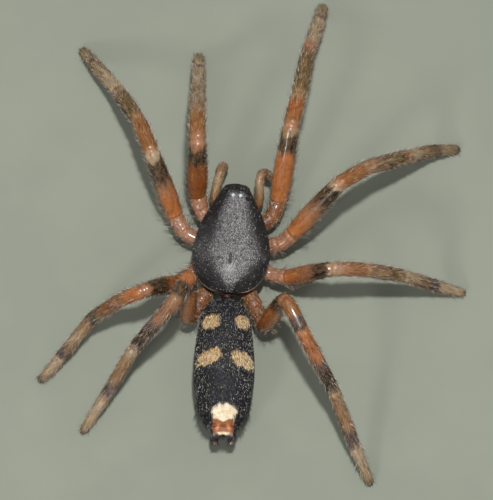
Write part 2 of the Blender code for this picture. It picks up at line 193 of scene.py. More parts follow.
def make_coat(name, surface, unwrap, material, length, width, rise,
              droop=0.35, stray=0.2, values=None):
    """One piece of many hairs, each a curved spike of three sides that rises from the skin,
    lies along it and droops back to it. Surface holds the roots, the outward directions and
    the lie, and unwrap holds each root's place on the flat skin."""
    roots, normals, lies = surface
    count = len(roots)

    def column(value):
        return np.broadcast_to(value, count)[:, None]

    lies = unit(lies + np.cross(normals, lies) * rng.normal(0, stray, count)[:, None])
    rise = column(rise) * column(rng.uniform(0.7, 1.3, count))
    length = column(length) * column(rng.uniform(0.7, 1.3, count))
    width = column(width)
    first = lies * np.cos(rise) + normals * np.sin(rise)
    second = unit(first - normals * column(droop))
    side = unit(np.cross(first, normals))
    top = np.cross(first, side)
    middle = roots + first * length * 0.5
    corners = []
    for centre, thick in ((roots - first * width, 1.0), (middle, 0.75)):
        for corner in range(3):
            angle = 2 * math.pi * corner / 3
            away = side * math.cos(angle) + top * math.sin(angle)
            corners.append(centre + away * width * thick)
    corners.append(middle + second * length * 0.5)
    points = np.stack(corners, axis=1).reshape(-1, 3)
    points[:, 2] = np.maximum(points[:, 2], FLOOR_CLEAR)
    pattern = np.array([(0, 2, 1), (0, 1, 4), (0, 4, 3), (1, 2, 5), (1, 5, 4), (2, 0, 3),
                        (2, 3, 5), (3, 4, 6), (4, 5, 6), (5, 3, 6)])
    faces = (np.arange(count)[:, None, None] * HAIR_POINTS + pattern).reshape(-1, 3)
    shared = {"shade": rng.uniform(0, 1, count)}
    shared.update(values or {})
    at_points = {key: np.repeat(numbers, HAIR_POINTS, axis=0) for key, numbers in shared.items()}
    at_points["tip"] = np.tile([0, 0, 0, 0.5, 0.5, 0.5, 1], count)
    piece = new_piece(name, points, faces, material, at_points)
    patch = np.array([(0, 0), (0.5, 0), (1, 0), (0, 0.5), (0.5, 0.5), (1, 0.5), (0.5, 1)])
    flat = np.clip(unwrap, 0, 1 - HAIR_PATCH)[:, None] + patch * HAIR_PATCH
    layer = piece.data.uv_layers.new(name="OFBake")
    layer.data.foreach_set("uv", flat.reshape(-1, 2)[faces.ravel()].astype(np.float32).ravel())
    return piece


def colour(red, green, blue):
    """A colour as a screen shows it, each part from 0 to 255, as the renderer needs it."""
    parts = np.array([red, green, blue]) / 255
    linear = np.where(parts < 0.04045, parts / 12.92, ((parts + 0.055) / 1.055) ** 2.4)
    return (*linear.tolist(), 1.0)


def connect(tree, value, socket):
    """Links a socket, or sets a plain value."""
    if isinstance(value, bpy.types.NodeSocket):
        tree.links.new(value, socket)
    else:
        socket.default_value = value


def add(tree, kind, settings=None, **values):
    """A new node with its settings, and its inputs by name, or by number as i0 or i1."""
    made = tree.nodes.new(kind)
    for key, value in (settings or {}).items():
        setattr(made, key, value)
    for key, value in values.items():
        place = int(key[1:]) if key[0] == "i" and key[1:].isdigit() else key.replace("_", " ")
        connect(tree, value, made.inputs[place])
    return made


def mix(tree, share, one, two, blend="MIX"):
    """Colour two over colour one, by a share from 0 to 1."""
    settings = {"data_type": "RGBA", "blend_type": blend}
    return add(tree, "ShaderNodeMix", settings, i0=share, i6=one, i7=two).outputs[2]


def sum_of(tree, operation, one, two, clamp=False):
    settings = {"operation": operation, "use_clamp": clamp}
    return add(tree, "ShaderNodeMath", settings, i0=one, i1=two).outputs[0]


def mask(tree, name):
    """A value that the mesh carries at its points."""
    return add(tree, "ShaderNodeAttribute", {"attribute_name": name}).outputs["Fac"]


def spread(tree, value, low, high, start=0.0, end=1.0):
    """Low where the value is at its start, high where it is at its end, smooth between."""
    made = add(tree, "ShaderNodeMapRange", {"interpolation_type": "SMOOTHSTEP"},
               Value=value, From_Min=start, From_Max=end, To_Min=low, To_Max=high)
    return made.outputs[0]


def new_group(name, given, kind="NodeSocketFloat"):
    """A node group with float inputs, given with their usual values, and one output."""
    group = bpy.data.node_groups.new(name, "ShaderNodeTree")
    for key, usual in given.items():
        socket = group.interface.new_socket(key, in_out="INPUT", socket_type="NodeSocketFloat")
        socket.default_value = usual
    group.interface.new_socket("Result", in_out="OUTPUT", socket_type=kind)
    given = group.nodes.new("NodeGroupInput").outputs
    return group, given, group.nodes.new("NodeGroupOutput").inputs


def use(tree, group, **values):
    """Places a node group and gives its output."""
    made = tree.nodes.new("ShaderNodeGroup")
    made.node_tree = group
    for key, value in values.items():
        connect(tree, value, made.inputs[key.replace("_", " ")])
    return made.outputs[0]


def make_mottle():
    """Cloudy change from Low to High, in spots about 1 / Per mm across."""
    group, given, wanted = new_group("mottle", {"Per mm": 1.0, "Low": 0.0, "High": 1.0})
    place = add(group, "ShaderNodeTexCoord").outputs["Object"]
    scale = sum_of(group, "MULTIPLY", given["Per mm"], 1 / MM)
    cloud = add(group, "ShaderNodeTexNoise", Vector=place, Scale=scale, Detail=3.0, Roughness=0.6)
    clouded = spread(group, cloud.outputs[0], given["Low"], given["High"], 0.38, 0.62)
    group.links.new(clouded, wanted[0])
    return group


def make_granules():
    """Height of small round grains about 1 / Per mm apart, with finer dust over them."""
    group, given, wanted = new_group("granules", {"Per mm": 12.0, "Dust": 0.3})
    place = add(group, "ShaderNodeTexCoord").outputs["Object"]
    scale = sum_of(group, "MULTIPLY", given["Per mm"], 1 / MM)
    cells = add(group, "ShaderNodeTexVoronoi", Vector=place, Scale=scale)
    grain = sum_of(group, "SUBTRACT", 0.6, cells.outputs["Distance"], clamp=True)
    finer = sum_of(group, "MULTIPLY", scale, 3.0)
    dust = add(group, "ShaderNodeTexNoise", Vector=place, Scale=finer)
    dusty = sum_of(group, "MULTIPLY", dust.outputs[0], given["Dust"])
    group.links.new(sum_of(group, "ADD", grain, dusty), wanted[0])
    return group


mottle = make_mottle()
granules = make_granules()


def new_material(name, **fixed):
    """A material with plain values set on its shader, its node tree and the shader's inputs."""
    material = bpy.data.materials.new(name)
    material.use_nodes = True
    inputs = material.node_tree.nodes["Principled BSDF"].inputs
    for key, value in fixed.items():
        inputs[key.replace("_", " ")].default_value = value
    return material, material.node_tree, inputs


def bump(tree, inputs, height, depth):
    """Raises the surface by a height from 0 to 1 times a depth in millimetres."""
    made = add(tree, "ShaderNodeBump", Height=height, Distance=depth * MM, Strength=1.0)
    tree.links.new(made.outputs[0], inputs["Normal"])


def shield_material():
    material, tree, inputs = new_material("black_shield", Specular_IOR_Level=0.5)
    cloud = use(tree, mottle, Per_mm=1.6)
    flank = mix(tree, cloud, colour(12, 9, 9), colour(30, 24, 26))
    silver = mix(tree, cloud, colour(54, 52, 54), colour(86, 83, 85))
    shown = mix(tree, mask(tree, "silver"), flank, silver)
    # Painted highlight: the shield's colour is lightened to pale grey just behind the slit.
    highlighted = mix(tree, mask(tree, "painted_highlight"), shown, colour(176, 180, 184))
    edged = mix(tree, mask(tree, "rim"), highlighted, colour(214, 190, 166))
    connect(tree, mix(tree, mask(tree, "slit"), edged, colour(16, 2, 4)), inputs["Base Color"])
    connect(tree, use(tree, mottle, Per_mm=9.0, Low=0.3, High=0.55), inputs["Roughness"])
    bump(tree, inputs, use(tree, granules, Per_mm=11.0, Dust=0.35), 0.035)
    return material


def shield_coat_material():
    material, tree, inputs = new_material("shield_hair", Specular_IOR_Level=0.6)
    shade = mask(tree, "shade")
    sparkle = spread(tree, shade, 0.0, 1.0, 0.3, 0.95)
    silver = mix(tree, sparkle, colour(84, 81, 82), colour(250, 247, 245))
    black = mix(tree, sparkle, colour(6, 5, 6), colour(72, 66, 68))
    ground = mix(tree, mask(tree, "silver"), black, silver)
    # Painted glints: the glint hairs are coloured near white.
    glint = mix(tree, shade, colour(120, 118, 116), colour(255, 253, 248))
    connect(tree, mix(tree, mask(tree, "glint"), ground, glint), inputs["Base Color"])
    connect(tree, spread(tree, shade, 0.5, 0.22), inputs["Roughness"])
    return material


SHIELD_LENGTH, SHIELD_HALF, SHIELD_RISE = 5.75, 2.02, 1.05
# The skin's rear edge is a thin lip that reaches a little past the solid
SHIELD_LIP = 0.14
RIM_UP, RIM_HALF = 0.05, 0.045
SLIT_START, SLIT_END, SLIT_HALF, SLIT_DEPTH = -1.0, -1.56, 0.04, 0.2
SLIT_LEAN = 0.04
# The grooves run out from the slit, at these angles from straight ahead, and sink in a little
GROOVES, GROOVE_SPREAD, GROOVE_DEPTH = (58, 94, 128), 6.5, 0.035
NECK_GROOVE, NECK_SPREAD, NECK_DEPTH = 25, 4.5, 0.045
shield = BodyForm(
    SHIELD_MIDDLE - (0, SHIELD_LIP / 2, 0), SHIELD_LENGTH + SHIELD_LIP,
    [(t, k * SHIELD_HALF) for t, k in ((0, 0.86), (0.12, 0.715), (0.35, 0.85), (0.62, 1.03),
                                       (0.85, 1.22), (0.96, 1.5), (1, 2.1))],
    [(t, k * SHIELD_RISE) for t, k in ((0, 1.1), (0.14, 1.0), (0.35, 0.93), (0.6, 1.0),
                                       (0.85, 1.1), (1, 0.9))],
    [(0, 0.2), (0.12, 0.22), (0.88, 0.22), (1, 0.2)], inset=0.03)


def silver_and_sheen_share(local):
    """How silvery the shield is: a band that starts behind the eyes, is widest at the slit
    and narrows to the rear edge, with a painted sheen that lightens the left rear flank."""
    out, ahead, up = local.T
    half = np.interp(ahead, [-2.9, -2.5, -2.0, -1.1, 0.3, 2.0, 2.6],
                     [0.15, 0.3, 0.8, 1.5, 0.95, 0.55, 0.4])
    inside = 1 - soft_step(np.abs(out - 0.08), half * 0.4, half * 1.35)
    # Painted sheen: the left rear flank is made more silvery, in place of a reflection of the light there.
    flank = 0.3 * np.exp(-((out + 1.5) / 0.5) ** 2 - ((ahead + 0.9) / 0.9) ** 2)
    inside = np.maximum(inside, flank)
    return inside * (up > -0.05) * soft_step(ahead, -3.0, -2.3) * (1 - soft_step(ahead, 2.1, 2.6))


def painted_highlight_share(local):
    """The painted highlight on the shield, just behind the slit: its brightest place, painted in a lighter
    colour.
    """
    out, ahead, up = local.T
    return np.exp(-(out / 0.24) ** 2 - ((ahead - SLIT_END + 0.3) / 0.22) ** 2) * (up > 0)


def rim_share(local):
    """The pale thickened rim, on the rear half of the shield's edge."""
    out, ahead, up = local.T
    edge = np.exp(-((up - RIM_UP) / RIM_HALF) ** 2)
    return edge * soft_step(-ahead, 0.8, 1.6) * soft_step(np.abs(out), 0.4, 0.9)


def slit_share(local, half):
    """The dark slit and what lies within a half width of it."""
    out, ahead, up = local.T
    away = out + SLIT_LEAN * (ahead - (SLIT_START + SLIT_END) / 2)
    inside = band(ahead, SLIT_END, SLIT_START, 0.07)
    return np.exp(-(away / half) ** 2) * inside * soft_step(up, 0.1, 0.4)


def shield_relief(local):
    """How far the slit and the grooves sink into the shield's top."""
    out, ahead, up = local.T
    top = soft_step(up, 0.1, 0.4)
    middle = (SLIT_START + SLIT_END) / 2
    reach = np.hypot(out, ahead - middle)
    bearing = np.degrees(np.arctan2(np.abs(out), ahead - middle))
    lines = sum(np.exp(-((bearing - angle) / GROOVE_SPREAD) ** 2) for angle in GROOVES)
    neck = np.exp(-((bearing - NECK_GROOVE) / NECK_SPREAD) ** 2) * band(reach, 0.7, 2.6, 0.3)
    folds = (GROOVE_DEPTH * lines * band(reach, 0.5, 1.5, 0.25) + NECK_DEPTH * neck) * top
    return SLIT_DEPTH * slit_share(local, SLIT_HALF) + folds


def make_shield():
    rings, sides = 180, 170
    along, turn = pole_grid(rings, sides)
    local = shield.local(along, turn)
    sunk = shield_relief(local)
    # The last value marks the painted highlight just behind the slit.
    values = {"silver": silver_and_sheen_share(local), "rim": rim_share(local),
              "slit": slit_share(local, 0.05), "painted_highlight": 0.7 * painted_highlight_share(local)}
    local[:, 2] -= sunk
    piece = new_piece("carapace_skin", shield.placed(local), closed_grid(rings, sides),
                      shield_material(), values)
    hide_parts("carapace")


def make_shield_coat():
    count = 19500

    def density(local):
        bare = np.maximum(rim_share(local) * 0.85, slit_share(local, 0.075) * 2.5)
        return (0.45 + silver_and_sheen_share(local)) * np.clip(1 - bare, 0, 1)

    along, turn = shield.scatter(count, density, (-0.05, math.pi + 0.05))
    roots, normals, back = shield.surface(along, turn)
    local = shield.local(along, turn)
    chance = rng.uniform(0, 1, (2, count))
    silver = silver_and_sheen_share(local) * chance[0] ** 0.5
    # A few hairs are short and broad and are painted near white as painted glints, most of all at the
    # painted highlight behind the slit
    glint = (chance[1] > 0.97 - 0.15 * silver_and_sheen_share(local) - 0.5 * painted_highlight_share(local)).astype(float)
    roots[:, 2] -= shield_relief(local)
    make_coat("carapace_hair", (roots, normals, back), shield.unwrap(along, turn),
              shield_coat_material(), length=0.1 - 0.05 * glint,
              width=0.0058 + 0.006 * glint, rise=0.22, values={"silver": silver, "glint": glint},
              stray=0.5)


make_shield()
make_shield_coat()


# The eyes: eight small clear domes of the same shell, in two rows at the front of the shield.
# The middle pair of the rear row is pearly, and the others are dark.

def eye_material(name, tint, edge):
    material, tree, inputs = new_material(name, Roughness=0.08, Specular_IOR_Level=0.7)
    facing = add(tree, "ShaderNodeLayerWeight", Blend=0.4).outputs["Facing"]
    cloud = use(tree, mottle, Per_mm=8.0, Low=0.0, High=0.3)
    connect(tree, mix(tree, facing, mix(tree, cloud, tint, edge), edge), inputs["Base Color"])
    return material


def ball(centre, radius, rings=14, sides=22):
    """Points and faces of a ball."""
    along, turn = pole_grid(rings, sides, 0.15)
    ring = 2 * np.sqrt(along * (1 - along))
    points = np.stack([ring * np.cos(turn), 1 - 2 * along, ring * np.sin(turn)], -1)
    return centre + points * radius, closed_grid(rings, sides)


# Each eye: how far from the middle line, its place along Y, its height and its radius
EYES = {
    "rear_middle": (0.19, 1.62, 2.9, 0.12), "rear_side": (0.56, 1.5, 2.72, 0.12),
    "front_middle": (0.17, 2.08, 2.6, 0.14), "front_side": (0.5, 1.93, 2.5, 0.12),
}
EYES_MIDDLE = 0.13
SIDES = ((-1, "left"), (1, "right"))


def make_eyes():
    pearl = eye_material("pearly_eye", colour(196, 208, 212), colour(52, 52, 56))
    dark = eye_material("dark_eye", colour(30, 24, 24), colour(10, 8, 8))
    for side, word in SIDES:
        for row, (out, ahead, up, radius) in EYES.items():
            centre = origin + (EYES_MIDDLE + side * out, ahead, up)
            points, faces = ball(centre, radius)
            look = pearl if row == "rear_middle" else dark
            new_piece("eye_%s_%s" % (row, word), points, faces, look)


make_eyes()


# The jaws: two short upright chelicerae of the shield's black shell, under its front edge,
# each with a smooth dark fang folded inwards at its end.

def blurred(values, sigma):
    """Rows at even steps, smoothed over a number of steps, with the ends kept."""
    reach = int(3 * sigma) + 1
    weights = np.exp(-0.5 * (np.arange(-reach, reach + 1) / sigma) ** 2)
    spare = min(reach, len(values) - 1)
    padded = np.pad(values, ((spare, spare), (0, 0)), mode="reflect", reflect_type="odd")
    short = reach - spare
    weights = weights[short:len(weights) - short]
    return np.stack([np.convolve(row, weights / weights.sum(), mode="valid") for row in padded.T], -1)


# How far a limb's middle line, its direction and its radius are smoothed, in steps
LINE_BLUR, WAY_BLUR, RADIUS_BLUR = 2.6, 5.2, 3.0
# At a joint the membrane shows pale over a reach and the limb narrows by a share, and the
# cuticle bulges by a share a little way from it
PALE_REACH, NARROW_REACH, NARROWING = 0.075, 0.08, 0.3
BULGE_AWAY, BULGE_REACH, BULGE = 0.2, 0.1, 0.06
# The marks between which a foot swells
SWELL_MARKS = (3.5, 4.5)


class Limb:
    """A limb's rounded middle line at close even steps, with its radius and its mark: 0 at the
    body, and one more at each joint. Turn is 0 on its back and a quarter on one side."""

    def __init__(self, points, radii, marks, tip, inset=0.0, swell=0.0, membranes=(), side=None,
                 step=0.05):
        points = np.array(points, dtype=float)
        reach = np.concatenate([[0], np.cumsum(np.linalg.norm(np.diff(points, axis=0), axis=1))])
        self.steps = steps = np.linspace(0, reach[-1], int(reach[-1] / step) + 1)
        line = np.stack([np.interp(steps, reach, row) for row in points.T], -1)
        self.centre = blurred(line, LINE_BLUR)
        self.forward = unit(blurred(np.gradient(line, axis=0), WAY_BLUR))
        if side is None:
            outward = points[-1] - points[0]
            side = (outward[1], -outward[0], 0)
        side = np.asarray(side, dtype=float)
        self.side = unit(side - (self.forward @ side)[:, None] * self.forward)
        self.back = np.cross(self.side, self.forward)
        radius = self.between(reach, radii)
        self.mark = self.between(reach, marks)
        radius = blurred(radius[:, None], RADIUS_BLUR)[:, 0] - inset
        radius = radius + swell * soft_step(self.mark, *SWELL_MARKS)
        self.pinch = np.zeros(len(steps))
        for mark, depth in membranes:
            away = steps - np.interp(mark, self.mark, steps)
            self.pinch = np.maximum(self.pinch, depth * np.exp(-(away / PALE_REACH) ** 2))
            radius *= 1 - NARROWING * depth * np.exp(-(away / NARROW_REACH) ** 2)
            radius *= 1 + BULGE * depth * np.exp(-((np.abs(away) - BULGE_AWAY) / BULGE_REACH) ** 2)
        from_start = np.clip(steps / radius[0], 0, 1)
        from_end = np.clip((steps[-1] - steps) / tip, 0, 1)
        self.radius = radius * np.sqrt((1 - (1 - from_start) ** 2) * (1 - (1 - from_end) ** 2))

    def between(self, reach, values):
        """Values at the steps, from the points that have one."""
        known = [k for k, value in enumerate(values) if value is not None]
        return np.interp(self.steps, reach[known], [values[k] for k in known])

    def away(self, step, turn):
        return self.back[step] * np.cos(turn)[:, None] + self.side[step] * np.sin(turn)[:, None]

    def grid(self, sides):
        """Points of the skin with its two poles, each point's step and turn, and the faces."""
        rings = len(self.steps) - 2
        step = np.repeat(np.arange(1, rings + 1), sides)
        turn = np.tile(np.linspace(0, 2 * math.pi, sides, endpoint=False), rings)
        points = self.centre[step] + self.away(step, turn) * self.radius[step, None]
        points = np.concatenate([self.centre[:1], points, self.centre[-1:]])
        points[:, 2] = np.maximum(points[:, 2], FLOOR_CLEAR)
        step, turn = np.concatenate([[0], step, [rings + 1]]), np.concatenate([[0], turn, [0]])
        return points, step, turn, closed_grid(rings, sides)

    def scatter(self, count, density):
        """Random steps and turns, evenly over the skin times a density of mark and turn."""
        tries = count * 4
        step = rng.integers(2, len(self.steps) - 2, tries)
        turn = rng.uniform(0, 2 * math.pi, tries)
        weight = self.radius[step] * density(self.mark[step], turn)
        pick = rng.choice(tries, count, p=weight / weight.sum())
        return step[pick], turn[pick]

    def surface(self, step, turn):
        """Places on the skin, with the outward and the footward directions there."""
        away = self.away(step, turn)
        shift = rng.uniform(-0.5, 0.5, len(step))[:, None] * self.steps[1]
        return (self.centre[step] + away * self.radius[step, None] + self.forward[step] * shift,
                unit(away), self.forward[step])

    def unwrap(self, step, turn):
        return np.stack([turn / (2 * math.pi) % 1, self.steps[step] / self.steps[-1]], -1)


JAW_OUT, JAW_AHEAD, JAW_TOP = 0.4, 2.2, 1.62
# The middle lines of the right jaw and fang, and the fang's root below the jaw's top
JAW_LINE = ((-0.04, -0.16, 0.5), (-0.04, -0.02, 0.05), (-0.04, 0.1, -0.4), (-0.05, 0.03, -1.0))
FANG_LINE = ((0.02, 0, 0.1), (0, 0, 0), (-0.08, 0.02, -0.17), (-0.19, -0.08, -0.24))
FANG_ROOT = (0, 0.08, -0.94)
JAW_HAIRS = 700


def clouded_skin(name, shine, dark, pale, spots, rough, grain, marked=None):
    """A skin in clouds of two colours, with so many spots to a millimetre, and a third colour
    where a mask says. Rough holds spots, low and high, and grain holds grains, dust and depth."""
    material, tree, inputs = new_material(name, Specular_IOR_Level=shine)
    tint = mix(tree, use(tree, mottle, Per_mm=spots), colour(*dark), colour(*pale))
    if marked:
        key, third = marked
        tint = mix(tree, mask(tree, key), tint, colour(*third))
    connect(tree, tint, inputs["Base Color"])
    per_mm, low, high = rough
    connect(tree, use(tree, mottle, Per_mm=per_mm, Low=low, High=high), inputs["Roughness"])
    per_mm, dust, depth = grain
    bump(tree, inputs, use(tree, granules, Per_mm=per_mm, Dust=dust), depth)
    return material


def fang_material():
    material, tree, inputs = new_material("fang_horn", Specular_IOR_Level=0.6)
    connect(tree, mix(tree, mask(tree, "mark"), colour(70, 26, 18), colour(16, 9, 9)), inputs["Base Color"])
    connect(tree, use(tree, mottle, Per_mm=6.0, Low=0.12, High=0.25), inputs["Roughness"])
    return material


def plain_hair_material(name, dark, pale):
    """Hair of one colour that runs from dark to pale by each hair's own shade."""
    material, tree, inputs = new_material(name, Specular_IOR_Level=0.6)
    shade = mask(tree, "shade")
    connect(tree, mix(tree, shade, colour(*dark), colour(*pale)), inputs["Base Color"])
    connect(tree, spread(tree, shade, 0.3, 0.55), inputs["Roughness"])
    return material


def make_jaws():
    shell = clouded_skin("jaw_shell", 0.5, (22, 15, 14), (50, 30, 26), 3.0,
                         rough=(8.0, 0.25, 0.45), grain=(14.0, 0.4, 0.015))
    horn = fang_material()
    hair = plain_hair_material("jaw_hair", (24, 18, 18), (104, 92, 86))
    for side, word in SIDES:
        place = origin + (SHIELD_MIDDLE[0] + side * JAW_OUT, JAW_AHEAD, JAW_TOP)
        line = place + np.array(JAW_LINE) * (side, 1, 1)
        jaw = Limb(line, [0.3, 0.325, 0.335, 0.22], [0, 1, 2, 3], tip=0.24, side=(1, 0, 0),
                   step=0.03)
        points, step, _, faces = jaw.grid(32)
        piece = new_piece("chelicera_%s_skin" % word, points, faces, shell,
                          {"mark": jaw.mark[step]})
        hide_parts("chelicera_" + word)
        line = place + FANG_ROOT + np.array(FANG_LINE) * (side, 1, 1)
        fang = Limb(line, [0.09, 0.085, 0.06, 0.022], [0, 0.3, 0.7, 1], tip=0.03, side=(0, 1, 0),
                    step=0.012)
        points, step, _, faces = fang.grid(14)
        new_piece("fang_" + word, points, faces, horn, {"mark": fang.mark[step]})
        step, turn = jaw.scatter(JAW_HAIRS, lambda mark, turn: soft_step(mark, 0.8, 2.8) + 0.2)
        make_coat("chelicera_%s_hair" % word, jaw.surface(step, turn), jaw.unwrap(step, turn),
                  hair, length=0.13, width=0.006, rise=0.4)


make_jaws()


# The sternum: a flat heart-shaped plate of brown shell between the legs, with the labium, the
# small lower lip, at its front. It is smooth, with a few short hairs.

STERNUM_LENGTH, STERNUM_HALF = 3.75, 0.95
STERNUM_MIDDLE = (0, -0.8, 1.22)
LABIUM_MIDDLE, LABIUM_LENGTH = (0, 0.965, 1.05), 0.8
STERNUM_HAIRS = 900
WALL_MIDDLE, WALL_LENGTH = (0.05, -0.98, 1.74), 5.05


def make_sternum():
    half = [(t, k * STERNUM_HALF)
            for t, k in ((0, 1.25), (0.15, 1.0), (0.5, 1.0), (0.85, 0.95), (1, 1.1))]
    deep = [(0, 0.6), (0.2, 0.46), (0.8, 0.46), (1, 0.6)]
    plate = BodyForm(STERNUM_MIDDLE, STERNUM_LENGTH, half, deep, deep, inset=0.025)
    lip = BodyForm(LABIUM_MIDDLE, LABIUM_LENGTH, [(0, 0.2), (1, 0.2)], [(0, 0.18), (1, 0.18)],
                   [(0, 0.18), (1, 0.18)])
    points, faces = [], []
    for form, rings, sides in ((plate, 70, 72), (lip, 24, 28)):
        start = sum(len(part) for part in points)
        points.append(form.placed(form.local(*pole_grid(rings, sides))))
        faces.extend([[corner + start for corner in face] for face in closed_grid(rings, sides)])
    piece = new_piece("sternum_skin", np.concatenate(points), faces, brown)
    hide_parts("sternum")
    along, turn = plate.scatter(STERNUM_HAIRS, lambda local: local[:, 2] < -0.05)
    make_coat("sternum_hair", plate.surface(along, turn), plate.unwrap(along, turn),
              plain_hair_material("sternum_bristle", (50, 34, 28), (170, 140, 116)),
              length=0.2, width=0.008, rise=0.5)


def make_side_wall():
    """The soft red-orange skin that joins the shield to the sternum and to the legs. It is
    darker at the rear."""
    material = clouded_skin("red_wall", 0.4, (150, 48, 20), (190, 82, 38), 3.0,
                            rough=(6.0, 0.35, 0.55), grain=(9.0, 1.0, 0.02),
                            marked=("rear", (46, 20, 16)))
    wall = BodyForm(WALL_MIDDLE, WALL_LENGTH, [(0, 1.0), (0.3, 1.42), (0.6, 1.84), (1, 2.3)],
                    [(0, 0.4), (1, 0.4)], [(0, 0.32), (1, 0.32)])
    local = wall.local(*pole_grid(60, 64))
    new_piece("side_wall", wall.placed(local), closed_grid(60, 64), material,
              {"rear": soft_step(-local[:, 1], 1.7, 2.2)})


brown = clouded_skin("brown_shell", 0.5, (88, 44, 26), (128, 70, 42), 1.8,
                     rough=(6.0, 0.3, 0.5), grain=(10.0, 0.5, 0.012))
make_sternum()
make_side_wall()


# The pedicel: the narrow stalk of dark red-brown skin between the two halves of the body. It
# has three soft folds, and both its ends lie inside the body.

PEDICEL_LINE = ((0, -2.6, 1.4), (0, -2.95, 1.42), (0.02, -3.5, 1.54), (0.03, -4.15, 1.62))
PEDICEL_FOLDS = ((0.9, 0.5), (1.5, 0.4), (2.1, 0.5))


def make_pedicel():
    material = clouded_skin("pedicel_skin", 0.4, (26, 12, 10), (58, 30, 22), 4.0,
                            rough=(6.0, 0.35, 0.55), grain=(9.0, 0.5, 0.02))
    stalk = Limb(origin + np.array(PEDICEL_LINE), [0.31, 0.32, 0.32, 0.34], [0, 1, 2, 3], tip=0.2,
                 membranes=PEDICEL_FOLDS, side=(1, 0, 0), step=0.03)
    points, _, _, faces = stalk.grid(32)
    piece = new_piece("pedicel_skin", points, faces, material)
    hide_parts("pedicel")


make_pedicel()


# The abdomen: a long soft sack of charcoal skin that ends in a stiff stalk, the anal tubercle,
# between two hollows with painted shade in them. Cream spots in two pairs and the white patch in
# front of the stalk are hair over paler skin.

SACK_LENGTH, SACK_HALF, SACK_HEADING = 7.15, 1.61, 3.6
SACK_MIDDLE = (0.17, -7.22, 2.05)
STALK_UP = 0.19
sack = BodyForm(
    SACK_MIDDLE, SACK_LENGTH,
    [(t, k * SACK_HALF) for t, k in ((0, 1.45), (0.09, 1.2), (0.24, 1.03), (0.4, 0.985), (0.6, 1.01),
                                     (0.8, 1.07), (0.91, 1.2), (1, 1.45))],
    [(0, 1.15), (0.1, 1.2), (0.35, 1.3), (0.6, 1.36), (0.85, 1.3), (1, 1.2)],
    [(0, 0.75), (0.12, 0.95), (0.35, 1.36), (0.6, 1.42), (0.85, 1.46), (0.95, 1.8), (1, 2.4)],
    inset=0.06, heading=SACK_HEADING)

# Each cream spot: its middle to the right and ahead, its half width and half length, and how
# much further back its outer end lies
SPOTS = (
    (-0.69, 2.12, 0.46, 0.42, 0.1), (0.91, 2.14, 0.38, 0.41, 0.1),
    (-0.78, 0.17, 0.66, 0.42, 0.28), (0.97, 0.06, 0.62, 0.44, 0.25),
)
# Each hollow, with painted shade in it: its middle to the right and ahead
PITS = ((-0.84, -2.98), (0.8, -3.02))
# The stalk's end is notched in the middle, where the gut opens
NOTCH_DEPTH, NOTCH_HALF = 0.1, 0.15
# Each pair of muscle dimples: how far ahead, and how far from the middle line
DIMPLES, DIMPLE_RADIUS, DIMPLE_DEPTH = ((1.35, 0.42), (-0.75, 0.46), (-1.6, 0.4)), 0.12, 0.035
PIT_DEPTH, LOBE_HEIGHT = 0.16, 0.05
WRINKLE_DEPTH, WRINKLE_STEP = 0.02, 0.3
FURROW_AHEAD, FURROW_HALF, FURROW_HEIGHT = 1.65, 0.06, 0.04
# The spots and the stalk's end are rounded squares: 2 would be round, and more is squarer
SQUARENESS = 2.6
FRINGE_HAIRS, BRISTLES = 150, 420


def waver(local, size, seed):
    """A gentle waver that roughens the edge of a marking."""
    out, ahead, _ = local.T
    one = np.sin(out * 17 + ahead * 9 + seed)
    return size * (one + np.sin(ahead * 21 - out * 13 + seed * 2)) / 2


def spot_share(local):
    out, ahead, up = local.T
    total = np.zeros(len(local))
    for middle, front, half, length, slope in SPOTS:
        away = out - middle
        along = ahead - front + slope * away * np.sign(middle)
        reach = np.abs(away / half) ** SQUARENESS + np.abs(along / length) ** SQUARENESS
        reach = reach ** (1 / SQUARENESS)
        total = np.maximum(total, 1 - soft_step(reach + waver(local, 0.14, middle), 0.62, 1.26))
    return total * soft_step(up, -0.1, 0.4)


def tail_share(local):
    """The white patch in front of the stalk, and the stalk's own pale skin."""
    out, ahead, up = local.T
    half = np.interp(-ahead, [2.2, 2.35, 2.6, 2.9, 3.15, 3.62, 3.74, 3.84],
                     [0.35, 0.62, 0.72, 0.6, 0.5, 0.42, 0.3, 0.2])
    inside = 1 - soft_step(np.abs(out - 0.04), half * 0.85, half * 1.1)
    front = waver(local, 0.04, 1) - ahead - 0.7 * (out - 0.04) ** 2
    return inside * soft_step(front, 2.16, 2.34) * (up > 0.05)


def brown_share(local):
    """The orange-brown of the stalk, which starts in a shallow pale V and leaves a pale rim."""
    out, ahead, up = local.T
    front = -ahead - 3.14 + 0.5 * np.minimum(np.abs(out), 0.3)
    end = soft_step(-ahead - 0.1 * np.abs(out), 3.62, 3.7)
    inside = (1 - soft_step(np.abs(out), 0.48, 0.62)) * (1 - end)
    return soft_step(front, -0.04, 0.05) * inside * (up > 0.1)


def lobe_share(local):
    """The two raised lobes of the stalk, painted lighter as a painted highlight."""
    out, ahead, up = local.T
    lean = np.abs(out) - 0.28 + 0.3 * (ahead + 3.4)
    return np.exp(-(lean / 0.1) ** 2 - ((ahead + 3.42) / 0.17) ** 2) * (up > 0.1)


def pit_share(local):
    """The hollows beside the white patch, and the one at the stalk's end, where the skin is painted
    near-black as painted shade.
    """
    out, ahead, up = local.T
    total = np.zeros(len(local))
    for middle, front in PITS:
        reach = np.hypot((out - middle) / 0.2, (ahead - front) / 0.28)
        total = np.maximum(total, 1 - soft_step(reach, 0.6, 1.2))
    gut = np.hypot(out / NOTCH_HALF, (up - STALK_UP) / NOTCH_HALF)
    opening = (1 - soft_step(gut, 1.0, 1.6)) * (ahead < -3.7)
    end = np.maximum(opening, 0.8 * soft_step(-ahead, 3.8, 3.88))
    return np.maximum(total * (up > 0), end)


def lung_share(local):
    """The two smoother plates over the book lungs, under the front of the sack."""
    out, ahead, up = local.T
    reach = np.hypot((np.abs(out) - 0.72) / 0.42, (ahead - 2.35) / 0.55)
    return (1 - soft_step(reach, 0.8, 1.1)) * (up < 0)


